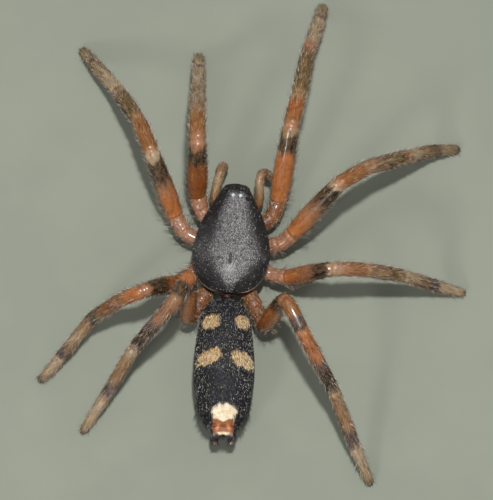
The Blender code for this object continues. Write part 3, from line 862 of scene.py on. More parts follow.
def sack_relief(local):
    """How far the skin sinks at the hollows, the dimples and the tail's wrinkles, less how far
    it rises at the lobes and on the fold below."""
    out, ahead, up = local.T
    sunk = PIT_DEPTH * pit_share(local)
    for front, away in DIMPLES:
        near = ((np.abs(out) - away) / DIMPLE_RADIUS) ** 2 + ((ahead - front) / DIMPLE_RADIUS) ** 2
        sunk += DIMPLE_DEPTH * np.exp(-near) * (up > 0)
    wrinkle = 0.5 + 0.5 * np.cos((ahead + 2.45 + 0.12 * out ** 2) * 2 * math.pi / WRINKLE_STEP)
    sunk += WRINKLE_DEPTH * wrinkle * tail_share(local) * band(-ahead, 2.5, 3.1, 0.1)
    sunk -= LOBE_HEIGHT * lobe_share(local)
    furrow = np.exp(-((ahead - FURROW_AHEAD) / FURROW_HALF) ** 2)
    furrow = furrow * (1 - soft_step(np.abs(out), 0.9, 1.3))
    return sunk - FURROW_HEIGHT * furrow * (up < 0)


def sack_marks(local):
    return {"spot": spot_share(local), "tail": tail_share(local), "brown": brown_share(local),
            "lobe": lobe_share(local), "pit_shade": pit_share(local), "lung": lung_share(local),
            "stalk": soft_step(-local[:, 1], 3.2, 3.5)}


def sack_material():
    material, tree, inputs = new_material(
        "charcoal_skin", Specular_IOR_Level=0.4, Sheen_Weight=0.1, Sheen_Roughness=0.4,
        Sheen_Tint=colour(130, 126, 160))
    cloud = use(tree, mottle, Per_mm=1.3)
    charcoal = mix(tree, cloud, colour(13, 13, 14), colour(28, 27, 36))
    stalk = mask(tree, "stalk")
    greyed = mix(tree, cloud, colour(92, 76, 70), colour(158, 136, 124))
    dark = mix(tree, stalk, charcoal, greyed)
    cream = mix(tree, use(tree, mottle, Per_mm=6.0), colour(128, 92, 52), colour(196, 156, 104))
    spotted = mix(tree, spread(tree, mask(tree, "spot"), 0.0, 1.0, 0.15, 0.95), dark, cream)
    white = mix(tree, use(tree, mottle, Per_mm=4.0), colour(214, 188, 146), colour(236, 222, 196))
    tailed = mix(tree, mask(tree, "tail"), spotted, white)
    # Painted highlight: the raised lobes are painted a lighter amber than the rest of the stalk.
    amber_and_highlight = mix(tree, mask(tree, "lobe"), colour(134, 82, 46), colour(212, 144, 102))
    browned = mix(tree, mask(tree, "brown"), tailed, amber_and_highlight)
    lunged = mix(tree, mask(tree, "lung"), browned, colour(112, 88, 66))
    # Painted shade: the hollows and the stalk's end are painted near-black.
    connect(tree, mix(tree, mask(tree, "pit_shade"), lunged, colour(7, 7, 8)), inputs["Base Color"])
    connect(tree, use(tree, mottle, Per_mm=8.0, Low=0.4, High=0.65), inputs["Roughness"])
    bump(tree, inputs, use(tree, granules, Per_mm=13.0, Dust=0.5), 0.025)
    return material


# The rings that carry the sack's rear face on into the stalk: how far back each one is, its
# half width, its rise and its depth
STALK_RINGS = (
    (3.41, 0.595, 0.335, 0.5), (3.44, 0.575, 0.33, 0.38), (3.47, 0.56, 0.32, 0.28),
    (3.52, 0.545, 0.31, 0.25), (3.58, 0.535, 0.3, 0.25), (3.64, 0.53, 0.3, 0.25),
    (3.7, 0.525, 0.295, 0.25), (3.76, 0.515, 0.29, 0.24), (3.82, 0.5, 0.28, 0.23),
    (3.87, 0.465, 0.26, 0.21), (3.89, 0.41, 0.22, 0.18), (3.87, 0.35, 0.18, 0.15),
    (3.8, 0.28, 0.13, 0.11), (3.76, 0.16, 0.07, 0.06))


def stalk_rings(sides):
    turn = np.linspace(0, 2 * math.pi, sides, endpoint=False)
    out, up = np.cos(turn), np.sin(turn)
    fold = (np.abs(out) ** SQUARENESS + np.abs(up) ** SQUARENESS) ** (-1 / SQUARENESS)
    rows = []
    for back, half, rise, depth in STALK_RINGS:
        height = np.where(up > 0, rise, depth) * up * fold
        aside = half * out * fold
        notch = NOTCH_DEPTH * soft_step(back, 3.7, 3.87) * np.exp(-(aside / NOTCH_HALF) ** 2)
        rows.append(np.stack([aside, notch - back, STALK_UP + height], -1))
    return rows


def make_sack():
    rings, sides = 215, 168
    along, turn = pole_grid(rings, sides, rear=0.27)
    local = sack.local(along, turn)
    stalk = stalk_rings(sides)
    local = np.concatenate([local[:-1], *stalk, [[0, -3.63, STALK_UP]]])
    values = sack_marks(local)
    local[:, 2] -= sack_relief(local)
    piece = new_piece("abdomen_skin", sack.placed(local), closed_grid(rings + len(stalk), sides),
                      sack_material(), values)
    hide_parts("abdomen")


def sack_coat_material():
    material, tree, inputs = new_material("abdomen_hair", Specular_IOR_Level=0.7)
    shade = mask(tree, "shade")
    black = mix(tree, shade, colour(10, 10, 11), colour(38, 37, 46))
    # Painted glints: the glint hairs are coloured pale grey-gold.
    glint = mix(tree, shade, colour(130, 126, 118), colour(248, 242, 222))
    ground = mix(tree, mask(tree, "glint"), black, glint)
    sunlit = spread(tree, shade, 0.0, 1.0, 0.2, 0.8)
    cream = mix(tree, sunlit, colour(164, 118, 64), colour(255, 246, 208))
    spotted = mix(tree, mask(tree, "spot"), ground, cream)
    white = mix(tree, shade, colour(240, 220, 186), colour(255, 250, 236))
    tailed = mix(tree, mask(tree, "tail"), spotted, white)
    connect(tree, mix(tree, mask(tree, "brown"), tailed, colour(190, 110, 64)), inputs["Base Color"])
    connect(tree, spread(tree, shade, 0.25, 0.5), inputs["Roughness"])
    return material


def make_sack_coat():
    count = 17000

    def density(local):
        covered = 0.6 + 0.8 * spot_share(local) + tail_share(local) + 0.4 * (local[:, 2] > 0)
        bare = np.maximum(lung_share(local), pit_share(local))
        # The white patch is hairy in front and at its sides, and bare further back
        smooth = tail_share(local) * soft_step(-local[:, 1], 2.45, 2.65) * (np.abs(local[:, 0]) < 0.5)
        bare = np.maximum(bare, smooth)
        return covered * (local[:, 1] > -3.3) * (1 - 0.95 * bare)

    along, turn = sack.scatter(count, density)
    roots, normals, back = sack.surface(along, turn)
    local = sack.local(along, turn)
    roots[:, 2] -= sack_relief(local)
    marks = sack_marks(local)
    values = {key: (marks[key] > rng.uniform(0.1, 0.9, count)).astype(float)
              for key in ("spot", "tail", "brown")}
    # The glint hairs are painted pale as painted glints, and they are fewest in the middle of the rear half
    plain = (1 - soft_step(np.abs(local[:, 0]), 0.3, 1.1)) * band(-local[:, 1], 0.6, 2.1, 0.3)
    values["glint"] = (rng.uniform(0, 1, count) < 0.26 - 0.19 * plain).astype(float)
    paler = np.maximum(values["spot"], values["tail"])
    shorter = np.maximum(values["glint"], values["tail"])
    make_coat("abdomen_hair", (roots, normals, back), sack.unwrap(along, turn),
              sack_coat_material(), length=0.14 - 0.075 * shorter,
              width=0.008 + 0.003 * values["glint"], rise=0.32 - 0.1 * paler, values=values,
              stray=0.3)


def make_tail_fringe():
    """Short dark hair that stands around the gut's opening, between the spinnerets."""
    count = FRINGE_HAIRS
    out = rng.uniform(-0.4, 0.4, count)
    up = STALK_UP + rng.uniform(-0.2, 0.28, count)
    roots = sack.placed(np.stack([out, np.full(count, -3.78), up], -1))
    normals, lies = (np.tile(way, (count, 1)) for way in ((0.0, 0.0, 1.0), -sack.ahead))
    unwrap = sack.unwrap(np.full(count, 0.99), np.arctan2(up - STALK_UP, out))
    make_coat("abdomen_tail_hair", (roots, normals, lies), unwrap, dark_bristle,
              length=0.26, width=0.007, rise=0.2, stray=0.4)


def make_bristles():
    """Long dark bristles at the rear of the sack, standing out past its sides."""

    def density(local):
        return band(-local[:, 1], 1.9, 3.45, 0.01) * (np.abs(local[:, 0]) > 0.5)

    along, turn = sack.scatter(BRISTLES, density)
    make_coat("abdomen_bristles", sack.surface(along, turn), sack.unwrap(along, turn),
              dark_bristle, length=0.34, width=0.011, rise=0.75, droop=0.1)


dark_bristle = plain_hair_material("dark_bristle", (14, 13, 14), (60, 56, 58))
make_sack()
make_sack_coat()
make_bristles()
make_tail_fringe()


# The spinnerets: two stout ones below and two slimmer ones above them, of dark grey skin with
# fine hair, each with a paler end that carries the silk spigots. Their roots and ends are
# measured on their solids.

def solid(node):
    """Points, in millimetres, and triangles of a solid."""
    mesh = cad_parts[node].data
    mesh.calc_loop_triangles()
    points = np.empty(len(mesh.vertices) * 3)
    mesh.vertices.foreach_get("co", points)
    triangles = np.empty(len(mesh.loop_triangles) * 3, dtype=np.int32)
    mesh.loop_triangles.foreach_get("vertices", triangles)
    return points.reshape(-1, 3) / MM, triangles.reshape(-1, 3)


def end_middle(node, direction, depth):
    """The middle of the end of a solid that lies furthest in a direction."""
    points, _ = solid(node)
    reach = points @ direction
    return points[reach > reach.max() - depth].mean(0)


SPINNERET_RADII = {"lower": 0.235, "upper": 0.21}
SPINNERET_HAIRS = 90


def make_spinnerets():
    material = clouded_skin("spinneret_skin", 0.4, (44, 40, 42), (86, 78, 76), 5.0,
                            rough=(6.0, 0.35, 0.6), grain=(12.0, 0.5, 0.015),
                            marked=("mark", (122, 110, 100)))
    for pair, thick in SPINNERET_RADII.items():
        for _, word in SIDES:
            node = "spinneret_%s_%s" % (pair, word)
            root, tip = (end_middle(node, way, 0.08) for way in (sack.ahead, -sack.ahead))
            if pair == "lower":
                root = (root + tip) / 2
            line = [root + (0, 0, 0.2) + sack.ahead * 0.3, root, root + (tip - root) * 0.6, tip]
            limb = Limb(line, [thick, thick, thick * 0.93, thick * 0.62], [0, 0, 0.35, 1], tip=0.09,
                        membranes=((0.45, 0.35),), side=sack.right, step=0.02)
            points, step, _, faces = limb.grid(26)
            piece = new_piece(node + "_skin", points, faces, material,
                              {"mark": soft_step(limb.mark[step], 0.4, 0.9)})
            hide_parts(node)
            step, turn = limb.scatter(SPINNERET_HAIRS, lambda mark, turn: mark + 0.2)
            make_coat(node + "_hair", limb.surface(step, turn), limb.unwrap(step, turn),
                      dark_bristle, length=0.16, width=0.008, rise=0.45)


make_spinnerets()


# The legs: eight, each one skin from the coxa under the body to the foot. The thin orange
# cuticle is shiny, with dark rings, and pinches to pale soft membrane at every joint. The
# middle line and thickness are measured on the leg's own solids.

def section(node, place, direction):
    """Middle and mean radius of the outline where a plane crosses a solid."""
    points, triangles = solid(node)
    side = (points - place) @ direction
    above = side[triangles] > 0
    found = []
    for apex, one, two in ((0, 1, 2), (1, 2, 0), (2, 0, 1)):
        alone = (above[:, apex] != above[:, one]) & (above[:, apex] != above[:, two])
        ends = []
        for other in (one, two):
            start, end = triangles[alone, apex], triangles[alone, other]
            share = (side[start] / (side[start] - side[end]))[:, None]
            ends.append(points[start] + (points[end] - points[start]) * share)
        found.append(np.stack(ends, axis=1))
    found = np.concatenate(found)
    length = np.linalg.norm(found[:, 1] - found[:, 0], axis=1)
    middles = found.mean(1)
    centre = (middles * length[:, None]).sum(0) / length.sum()
    return centre, (np.linalg.norm(middles - centre, axis=1) * length).sum() / length.sum()


def middle_line(node, start, end, count, clear=0.42):
    """Middles and radii of a limb solid's sections, square to its run, between its joints."""
    length = np.linalg.norm(end - start)
    places = start + np.linspace(clear / length, 1 - clear / length, count)[:, None] * (end - start)
    directions = np.repeat(unit(end - start)[None], count, axis=0)
    for _ in range(2):
        measured = [section(node, place, way) for place, way in zip(places, directions)]
        places = np.array([centre for centre, _ in measured])
        directions = unit(np.gradient(np.vstack([start, places, end]), axis=0)[1:-1])
    return places, [radius for _, radius in measured]


def far_end(node, place, depth):
    """The middle of the end of a solid that is furthest from a place."""
    points, _ = solid(node)
    away = np.linalg.norm(points - place, axis=1)
    return points[away > away.max() - depth].mean(0)


def meeting(near, far, reach=0.42):
    """The joint between two solids, amid their points that lie close to each other."""
    one, two = solid(near)[0], solid(far)[0]
    away = np.linalg.norm(one[:, None] - two[None], axis=2)
    return (one[away.min(1) < reach].mean(0) + two[away.min(0) < reach].mean(0)) / 2


# A limb's marks run from 0 at the body to this at its tip, and a leg's tarsus starts at 5
TIP_MARK, TARSUS_MARK = 6.0, 5.0

ORANGE, BROWN_ORANGE, RED = colour(168, 98, 48), colour(136, 70, 12), colour(112, 64, 32)
GOLD, PINK_ORANGE, ROSE = colour(126, 76, 30), colour(144, 100, 72), colour(152, 106, 82)
PALE, TAN, PINK_TAN = colour(170, 152, 128), colour(140, 108, 76), colour(168, 149, 120)
GREY_TAN, GREY, OLIVE = colour(129, 113, 85), colour(148, 126, 98), colour(104, 83, 40)
DARK, PURPLE = colour(16, 12, 12), colour(73, 64, 69)

# The points of each leg's rings, each as one mark or more and the colour there
LEG_COLOURS = {
    "left_1": [
        (0.0, RED), (0.35, 0.9, ROSE), (1.02, 1.6, BROWN_ORANGE), (1.7, 1.89, DARK),
        (1.94, 2.12, PINK_ORANGE), (2.25, 2.7, GOLD), (2.95, 3.2, TAN), (3.34, 4.15, GREY),
        (4.4, 4.92, PINK_TAN), (4.99, 5.06, PURPLE), (5.16, PINK_TAN), (5.5, 5.8, GREY_TAN),
        (5.95, DARK)],
    "right_1": [
        (0.0, 0.95, RED), (1.05, 1.62, ORANGE), (1.7, 1.87, DARK), (1.92, GREY), (2.04, ROSE),
        (2.16, GOLD), (2.4, 2.65, BROWN_ORANGE), (2.85, TAN), (3.1, 3.84, OLIVE),
        (3.97, 4.12, ROSE), (4.3, 4.92, PINK_TAN), (4.99, 5.06, PURPLE), (5.16, 5.8, GREY_TAN),
        (5.95, DARK)],
    "left_2": [
        (0.0, RED), (0.3, 0.95, ROSE), (1.05, 1.3, ORANGE), (1.5, PINK_ORANGE),
        (1.6, 1.86, DARK), (1.91, 2.0, PINK_TAN), (2.08, 2.85, GOLD), (3.05, TAN),
        (3.3, 3.8, OLIVE), (3.92, 4.5, PINK_TAN), (4.9, GREY_TAN), (4.97, 5.06, PURPLE),
        (5.15, 5.8, GREY_TAN), (5.93, DARK)],
    "right_2": [
        (0.0, RED), (0.3, 0.95, ROSE), (1.05, 1.25, ORANGE), (1.5, PINK_ORANGE),
        (1.67, 1.9, DARK), (1.95, PINK_TAN), (2.03, ROSE), (2.12, 2.7, GOLD), (2.85, 3.3, TAN),
        (3.45, 3.86, OLIVE), (3.95, TAN), (4.06, PINK_ORANGE), (4.2, PINK_TAN), (4.6, TAN),
        (4.85, OLIVE), (4.97, 5.06, PURPLE), (5.15, 5.8, GREY_TAN), (5.93, DARK)],
    "left_3": [
        (0.0, 0.95, RED), (1.05, 1.44, BROWN_ORANGE), (1.54, 1.88, DARK), (1.94, ROSE),
        (2.02, PINK_ORANGE), (2.2, 2.6, ORANGE), (2.9, 3.5, GOLD), (3.7, OLIVE),
        (3.82, 4.0, DARK), (4.08, 4.2, TAN), (4.5, PINK_TAN), (4.75, TAN), (4.88, 4.97, PURPLE),
        (5.03, 5.15, PALE), (5.5, PINK_TAN), (5.85, GREY_TAN), (5.96, PURPLE)],
    "right_3": [
        (0.0, RED), (0.25, 0.95, ROSE), (1.05, 1.3, ORANGE), (1.6, PINK_ORANGE),
        (1.72, 1.94, DARK), (1.99, PINK_TAN), (2.3, ROSE), (2.42, PINK_ORANGE), (2.6, 2.9, GOLD),
        (3.1, 3.5, TAN), (3.6, 3.86, OLIVE), (3.96, 4.1, PINK_TAN), (4.66, TAN),
        (4.76, 4.94, PURPLE), (5.02, PALE), (5.15, 5.6, PINK_TAN), (5.85, PALE),
        (5.96, GREY_TAN)],
    "left_4": [
        (0.0, 0.95, RED), (1.05, 1.65, BROWN_ORANGE), (1.74, 1.9, DARK), (1.97, 2.3, ORANGE),
        (2.42, 2.75, DARK), (2.9, TAN), (3.1, 3.35, PINK_ORANGE), (3.48, PURPLE),
        (3.6, 3.9, DARK), (3.98, 4.06, PALE), (4.2, 4.62, TAN), (4.7, 4.92, PURPLE),
        (4.98, PINK_TAN), (5.1, 5.4, PALE), (5.6, PINK_TAN), (5.85, GREY_TAN), (5.95, PURPLE)],
    "right_4": [
        (0.0, 0.95, RED), (1.05, 1.65, BROWN_ORANGE), (1.75, 1.92, DARK), (2.0, RED),
        (2.1, 2.5, GOLD), (2.62, PURPLE), (2.92, DARK), (3.0, 3.45, ORANGE), (3.56, PURPLE),
        (3.66, 3.92, DARK), (3.98, PINK_TAN), (4.05, 4.2, 4.62, TAN), (4.7, 4.92, PURPLE),
        (4.98, PINK_TAN), (5.1, 5.3, PALE), (5.6, PINK_TAN), (5.85, GREY_TAN), (5.95, PURPLE)],
}


def make_streaks():
    """Streaky change from Low to High that runs along a limb."""
    group, given, wanted = new_group("streaks", {"Per mm": 1.0, "Low": 0.0, "High": 1.0})
    place = add(group, "ShaderNodeAttribute", {"attribute_name": "grain"}).outputs["Vector"]
    cloud = add(group, "ShaderNodeTexNoise", Vector=place, Scale=given["Per mm"], Detail=3.0,
                Roughness=0.6)
    clouded = spread(group, cloud.outputs[0], given["Low"], given["High"], 0.36, 0.64)
    group.links.new(clouded, wanted[0])
    return group


def make_rings(name, colours):
    """The ring colours of one limb at a mark, with ragged edges."""
    stops = [(mark / TIP_MARK, tint) for *marks, tint in colours for mark in marks]
    group, given, wanted = new_group("rings_" + name, {"Mark": 0.0}, "NodeSocketColor")
    ragged = use(group, streaks, Per_mm=3.0, Low=-0.035, High=0.035)
    mark = sum_of(group, "ADD", given["Mark"], ragged)
    place = sum_of(group, "MULTIPLY", mark, 1 / TIP_MARK, clamp=True)
    ramp = add(group, "ShaderNodeValToRGB", i0=place)
    stages = ramp.color_ramp.elements
    stages.remove(stages[1])
    stages[0].position, stages[0].color = stops[0]
    for place, tint in stops[1:]:
        stages.new(place).color = tint
    group.links.new(ramp.outputs[0], wanted[0])
    return group


streaks = make_streaks()


def limb_material(name, rings):
    """Shiny, slightly clear cuticle in a limb's ring colours, with pale soft joints."""
    material, tree, inputs = new_material(
        name, Specular_IOR_Level=0.4, Subsurface_Weight=0.06, Subsurface_Scale=0.25 * MM,
        Coat_Roughness=0.14)
    ringed = use(tree, rings, Mark=mask(tree, "mark"))
    streaked = mix(tree, use(tree, streaks, Per_mm=5.0, Low=0.0, High=0.4), ringed,
                   colour(150, 104, 70), "MULTIPLY")
    cloudy = mix(tree, use(tree, streaks, Per_mm=9.0, Low=0.0, High=0.2), streaked, colour(190, 142, 84))
    below = mix(tree, mask(tree, "below"), cloudy, mix(tree, 0.35, ringed, PALE))
    connect(tree, mix(tree, mask(tree, "pinch"), below, colour(168, 114, 80)), inputs["Base Color"])
    connect(tree, use(tree, mottle, Per_mm=7.0, Low=0.2, High=0.4), inputs["Roughness"])
    connect(tree, use(tree, mottle, Per_mm=4.0, Low=0.2, High=0.7), inputs["Coat Weight"])
    bump(tree, inputs, use(tree, granules, Per_mm=15.0, Dust=0.8), 0.012)
    return material


def limb_coat_material(name, rings):
    """Fine hair in the limb's own colours, from nearly as dark to silvery."""
    material, tree, inputs = new_material(name, Specular_IOR_Level=0.6)
    ringed = use(tree, rings, Mark=mask(tree, "mark"))
    shade = mask(tree, "shade")
    paler = mix(tree, spread(tree, shade, 0.0, 0.5, 0.3), ringed, colour(214, 184, 136))
    silver = mask(tree, "silver")
    bright = mix(tree, shade, colour(150, 124, 104), colour(250, 232, 216))
    silvery = mix(tree, silver, paler, bright)
    connect(tree, mix(tree, mask(tree, "dark"), silvery, colour(40, 30, 26)), inputs["Base Color"])
    connect(tree, spread(tree, shade, 0.3, 0.55), inputs["Roughness"])
    return material


GRAIN_SQUEEZE = 0.3


def limb_values(limb, step, turn):
    """A limb's mark, and its grain: a place in which lengths along the limb are squeezed."""
    around = limb.radius[step]
    along = limb.steps[step] * GRAIN_SQUEEZE
    grain = np.stack([along, around * np.cos(turn), around * np.sin(turn)], -1)
    return {"mark": limb.mark[step], "grain": grain}


def make_limb_skin(name, limb, material, sides):
    points, step, turn, faces = limb.grid(sides)
    values = limb_values(limb, step, turn)
    values["pinch"] = limb.pinch[step]
    values["below"] = soft_step(-np.cos(turn), 0.2, 0.9) * 0.6
    return new_piece(name, points, faces, material, values)


LEG_PARTS = ("coxa", "femur", "patella", "tibia", "foot")
# The skin stands a hair's width past the solid, and further on the hairy foot
LEG_INSET, FOOT_SWELL = -0.01, 0.015
# Where the metatarsus ends in each pair's foot, as a share of the foot
TARSUS_JOINT = {"1": 0.68, "2": 0.65, "3": 0.615, "4": 0.645}
PART_STATIONS, FOOT_STATIONS = 5, 9
MEMBRANES = ((0.58, 0.35), (1.0, 0.5), (2.0, 0.7), (3.0, 0.3), (4.0, 0.55), (5.0, 0.35))


def measure_leg(name):
    nodes = ["leg_%s_%s" % (name, part) for part in LEG_PARTS]
    joints = [meeting(near, far) for near, far in zip(nodes, nodes[1:])]
    stops = [far_end(nodes[0], joints[0], 0.3), *joints, far_end(nodes[-1], joints[-1], 0.1)]
    points, radii, marks = [], [], []
    for k, node in enumerate(nodes):
        count = FOOT_STATIONS if node == nodes[-1] else PART_STATIONS
        places, measured = middle_line(node, stops[k], stops[k + 1], count)
        points.extend([stops[k], *places])
        radii.extend([None, *measured])
        marks.extend([float(k)] + [None] * count)
    points.append(stops[-1])
    radii.append(radii[-1] * 0.8)
    marks.append(TIP_MARK)
    radii[0] = radii[1]
    foot = np.array(points[-FOOT_STATIONS - 2:])
    run = np.concatenate([[0], np.cumsum(np.linalg.norm(np.diff(foot, axis=0), axis=1))])
    joint = np.argmin(np.abs(run / run[-1] - TARSUS_JOINT[name[-1]]))
    marks[len(points) - len(foot) + joint] = TARSUS_MARK
    points.insert(0, points[0] + unit(points[0] - points[1]) * 0.25)
    return Limb(points, [radii[0], *radii], [0.0, 0.01, *marks[1:]], tip=0.16, inset=LEG_INSET,
                swell=FOOT_SWELL, membranes=MEMBRANES)


def claw_material():
    material, tree, inputs = new_material("claw_horn", Specular_IOR_Level=0.5)
    connect(tree, use(tree, mottle, Per_mm=6.0, Low=0.2, High=0.45), inputs["Roughness"])
    horn = mix(tree, use(tree, mottle, Per_mm=5.0), colour(24, 16, 18), colour(60, 34, 34))
    connect(tree, horn, inputs["Base Color"])
    return material


def make_claws(name, limb, material):
    """Two dark hooked claws at the end of a foot."""
    tip, side = limb.centre[-3], limb.side[-1]
    ahead = unit(limb.forward[-1] * (1, 1, 0))
    for turn, word in ((-1, "inner"), (1, "outer")):
        root = tip + side * 0.06 * turn + (0, 0, 0.02)
        line = [root, root + ahead * 0.09 + (0, 0, 0.03), root + ahead * 0.16 + (0, 0, -0.02),
                root + ahead * 0.18 + (0, 0, -0.09)]
        claw = Limb(line, [0.035, 0.035, 0.028, 0.012], [0, 0.3, 0.7, 1], tip=0.02, side=side,
                    step=0.01)
        points, _, _, faces = claw.grid(8)
        new_piece("claw_%s_%s" % (name, word), points, faces, material)


# Each kind of leg hair: how many, where it is dense by mark and turn, its length, width, rise
# and droop, and the shares of dark and of silvery hairs. They are the short hair, the bristles,
# the long thin hair under the root of the leg, the long dark hair that lies along the tibia,
# the silvery hair at the root of the leg, and the brush under the foot.
LEG_HAIR = (
    (6000, lambda mark, turn: 0.12 + 0.88 * soft_step(mark, 2.4, 3.8),
     0.16, 0.005, 0.2, 0.35, 0.14, 0.06),
    (1900, lambda mark, turn: 0.3 + soft_step(mark, 0.6, 2.6) * np.where(np.cos(turn) < 0.3, 1, 0.35),
     0.3, 0.0055, 0.6, 0.2, 0.3, 0.5),
    (260, lambda mark, turn: band(mark, 0.3, 1.25, 0.1) * (np.cos(turn) < 0.4),
     0.5, 0.0045, 0.9, 0.15, 0.5, 0.5),
    (420, lambda mark, turn: band(mark, 3.1, 3.95, 0.1) + 0.6 * band(mark, 4.3, 5.0, 0.1),
     0.4, 0.0075, 0.1, 0.1, 0.7, 0.15),
    (420, lambda mark, turn: band(mark, 0.25, 1.0, 0.1) * (np.cos(turn) > -0.3),
     0.09, 0.006, 0.2, 0.2, 0, 1),
    (1200, lambda mark, turn: soft_step(mark, 4.0, 4.8) * (np.cos(turn) < 0.1),
     0.13, 0.006, 0.8, 0.1, 0.4, 0),
)


LEG_HAIR_CLEAR = 0.05


def make_leg_coat(name, limb, material):
    """All of one leg's hair as one coat. Hair too near the floor is left out."""
    steps, turns, looks = [], [], []
    for count, density, *look in LEG_HAIR:
        step, turn = limb.scatter(count, density)
        steps.append(step)
        turns.append(turn)
        looks.append(np.repeat([look], count, axis=0))
    step, turn, looks = (np.concatenate(part) for part in (steps, turns, looks))
    clear = limb.surface(step, turn)[0][:, 2] > LEG_HAIR_CLEAR
    step, turn, looks = step[clear], turn[clear], looks[clear]
    length, width, rise, droop, dark, silver = looks.T
    values = limb_values(limb, step, turn)
    chance = rng.uniform(0, 1, len(step))
    values["dark"] = (chance < dark).astype(float)
    values["silver"] = (chance > 1 - silver).astype(float)
    make_coat("leg_%s_hair" % name, limb.surface(step, turn), limb.unwrap(step, turn), material,
              length, width, rise, droop, values=values)


def make_legs():
    claw = claw_material()
    for name, stops in LEG_COLOURS.items():
        limb = measure_leg(name)
        rings = make_rings(name, stops)
        skin = make_limb_skin("leg_%s_skin" % name, limb, limb_material("leg_" + name, rings),
                              30)
        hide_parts(*["leg_%s_%s" % (name, part) for part in LEG_PARTS])
        make_claws(name, limb, claw)
        make_leg_coat(name, limb, limb_coat_material("leg_hair_" + name, rings))


make_legs()


# The palps: two short feelers beside the jaws, in the same cuticle as the legs and without
# rings. At the root of each is a brown lobe for chewing.

PALP_PARTS = ("base", "femur", "tibia", "tarsus")
PALP_ROOT, PALP_KNUCKLE, LOBE_TIP = (0.68, 1.22, 1.05), (0.85, 1.42, 1.05), (0.46, 1.6, 0.98)
PALP_COLOURS = [(0.0, BROWN_ORANGE), (1.5, GOLD), (2.0, TAN), (2.6, PINK_TAN), (3.6, TAN),
                (4.5, ROSE), (5.1, 6.0, PINK_TAN)]
PALP_STATIONS, PALP_MARK_STEP, PALP_HAIRS = 3, 1.5, 1500


def make_palps():
    rings = make_rings("palp", PALP_COLOURS)
    cuticle, hair = limb_material("palp", rings), limb_coat_material("palp_hair", rings)
    for side, word in SIDES:
        nodes = ["palp_%s_%s" % (word, part) for part in PALP_PARTS]
        joints = [meeting(near, far) for near, far in zip(nodes, nodes[1:])]
        root, knuckle, lobe_tip = (origin + np.array(place) * (side, 1, 1)
                                   for place in (PALP_ROOT, PALP_KNUCKLE, LOBE_TIP))
        stops = [*joints, far_end(nodes[-1], joints[-1], 0.1)]
        points, radii, marks = [root, knuckle], [0.2, 0.22], [0.0, 0.7]
        for k, node in enumerate(nodes[1:]):
            places, measured = middle_line(node, stops[k], stops[k + 1], PALP_STATIONS, 0.25)
            points.extend([stops[k], *places])
            radii.extend([None, *measured])
            marks.extend([PALP_MARK_STEP * (k + 1)] + [None] * PALP_STATIONS)
        points.append(stops[-1])
        radii.append(radii[-1] * 0.9)
        marks.append(TIP_MARK)
        limb = Limb(points, radii, marks, tip=0.16, inset=-0.01, side=(1, 0, 0), step=0.04,
                    membranes=((1.5, 0.5), (3.0, 0.6), (4.5, 0.6)))
        skin = make_limb_skin("palp_%s_skin" % word, limb, cuticle, 24)
        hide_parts(*nodes)
        step, turn = limb.scatter(PALP_HAIRS, lambda mark, turn: 0.3 + soft_step(mark, 2.0, 5.0))
        values = limb_values(limb, step, turn)
        values["dark"] = (rng.uniform(0, 1, len(step)) < 0.2).astype(float)
        make_coat("palp_%s_hair" % word, limb.surface(step, turn), limb.unwrap(step, turn),
                  hair, length=0.16, width=0.008, rise=0.4, values=values)
        lobe = Limb([root, lobe_tip + (lobe_tip - root) * 0.3], [0.19, 0.15], [0, 1], tip=0.14,
                    side=(0, 0, 1), step=0.03)
        points, _, _, faces = lobe.grid(22)
        new_piece("chewing_lobe_" + word, points, faces, brown)


make_palps()


# The floor, lights and camera: a plain pale floor, a small lamp overhead, a softbox low behind,
# a soft sky, and a camera that looks down from behind the spider, as the photograph does.

FLOOR_SIZE = 4000
IMAGE_HEIGHT = 500
PIXELS_PER_MM = 19.34
CAMERA_HEADING, CAMERA_HEIGHT, CAMERA_AWAY = 4.5, 75.0, 700.0
CAMERA_TARGET, LIGHT_TARGET = (0.789, -0.475, 0.0), (0, -2, 0)
SENSOR_WIDTH = 36
SKY_POWER = 0.32


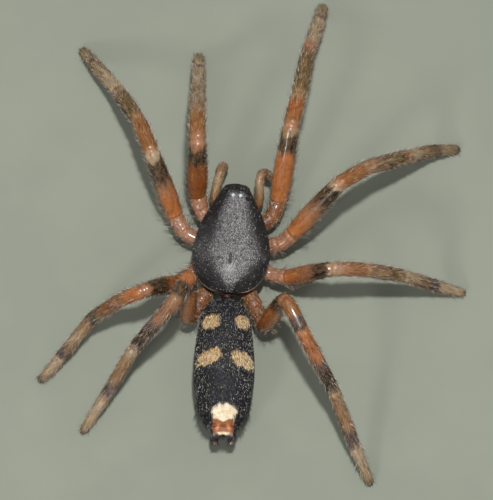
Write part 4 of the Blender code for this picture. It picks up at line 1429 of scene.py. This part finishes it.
def make_floor():
    material, tree, inputs = new_material("pale_floor", Specular_IOR_Level=0.2)
    cloud = use(tree, mottle, Per_mm=0.12)
    connect(tree, mix(tree, cloud, colour(131, 136, 123), colour(135, 139, 126)), inputs["Base Color"])
    connect(tree, use(tree, mottle, Per_mm=0.3, Low=0.75, High=0.85), inputs["Roughness"])
    mesh = bpy.data.meshes.new("floor")
    half = FLOOR_SIZE * MM / 2
    corners = [(-half, -half, 0), (half, -half, 0), (half, half, 0), (-half, half, 0)]
    mesh.from_pydata(corners, [], [(0, 1, 2, 3)])
    mesh.materials.append(material)
    floor = bpy.data.objects.new("floor", mesh)
    bpy.context.scene.collection.objects.link(floor)


def aim(thing, place, target):
    """Puts a light or the camera at a place, in millimetres, looking at another."""
    thing.location = Vector(place) * MM
    thing.rotation_mode = "QUATERNION"
    thing.rotation_quaternion = (Vector(target) - Vector(place)).to_track_quat("-Z", "Y")


def make_light(name, place, size, power):
    lamp = bpy.data.lights.new(name, "AREA")
    lamp.shape = "DISK"
    lamp.size = size * MM
    lamp.energy = power
    light = bpy.data.objects.new(name, lamp)
    bpy.context.scene.collection.objects.link(light)
    aim(light, origin + np.array(place), origin + LIGHT_TARGET)
    light.visible_camera = False


def make_lights():
    make_light("softbox_left", place=(-110, -190, 150), size=50, power=0.17)
    make_light("softbox_above", place=(9, 2, 240), size=13, power=0.53)
    world = bpy.data.worlds.new("studio")
    world.use_nodes = True
    sky = world.node_tree.nodes["Background"].inputs
    sky["Color"].default_value = (1, 1, 1, 1)
    sky["Strength"].default_value = SKY_POWER
    bpy.context.scene.world = world
    bpy.context.scene.view_settings.view_transform = "Standard"


def make_camera():
    heading, height = math.radians(CAMERA_HEADING), math.radians(CAMERA_HEIGHT)
    back = np.array([math.sin(heading) * math.cos(height), -math.cos(heading) * math.cos(height),
                     math.sin(height)])
    target = origin + CAMERA_TARGET
    lens = bpy.data.cameras.new("camera")
    lens.sensor_width = SENSOR_WIDTH
    lens.lens = SENSOR_WIDTH * CAMERA_AWAY * PIXELS_PER_MM / IMAGE_HEIGHT
    lens.clip_start, lens.clip_end = 0.05, 10
    camera = bpy.data.objects.new("camera", lens)
    bpy.context.scene.collection.objects.link(camera)
    aim(camera, target + back * CAMERA_AWAY, target)
    bpy.context.scene.camera = camera


make_floor()
make_lights()
make_camera()
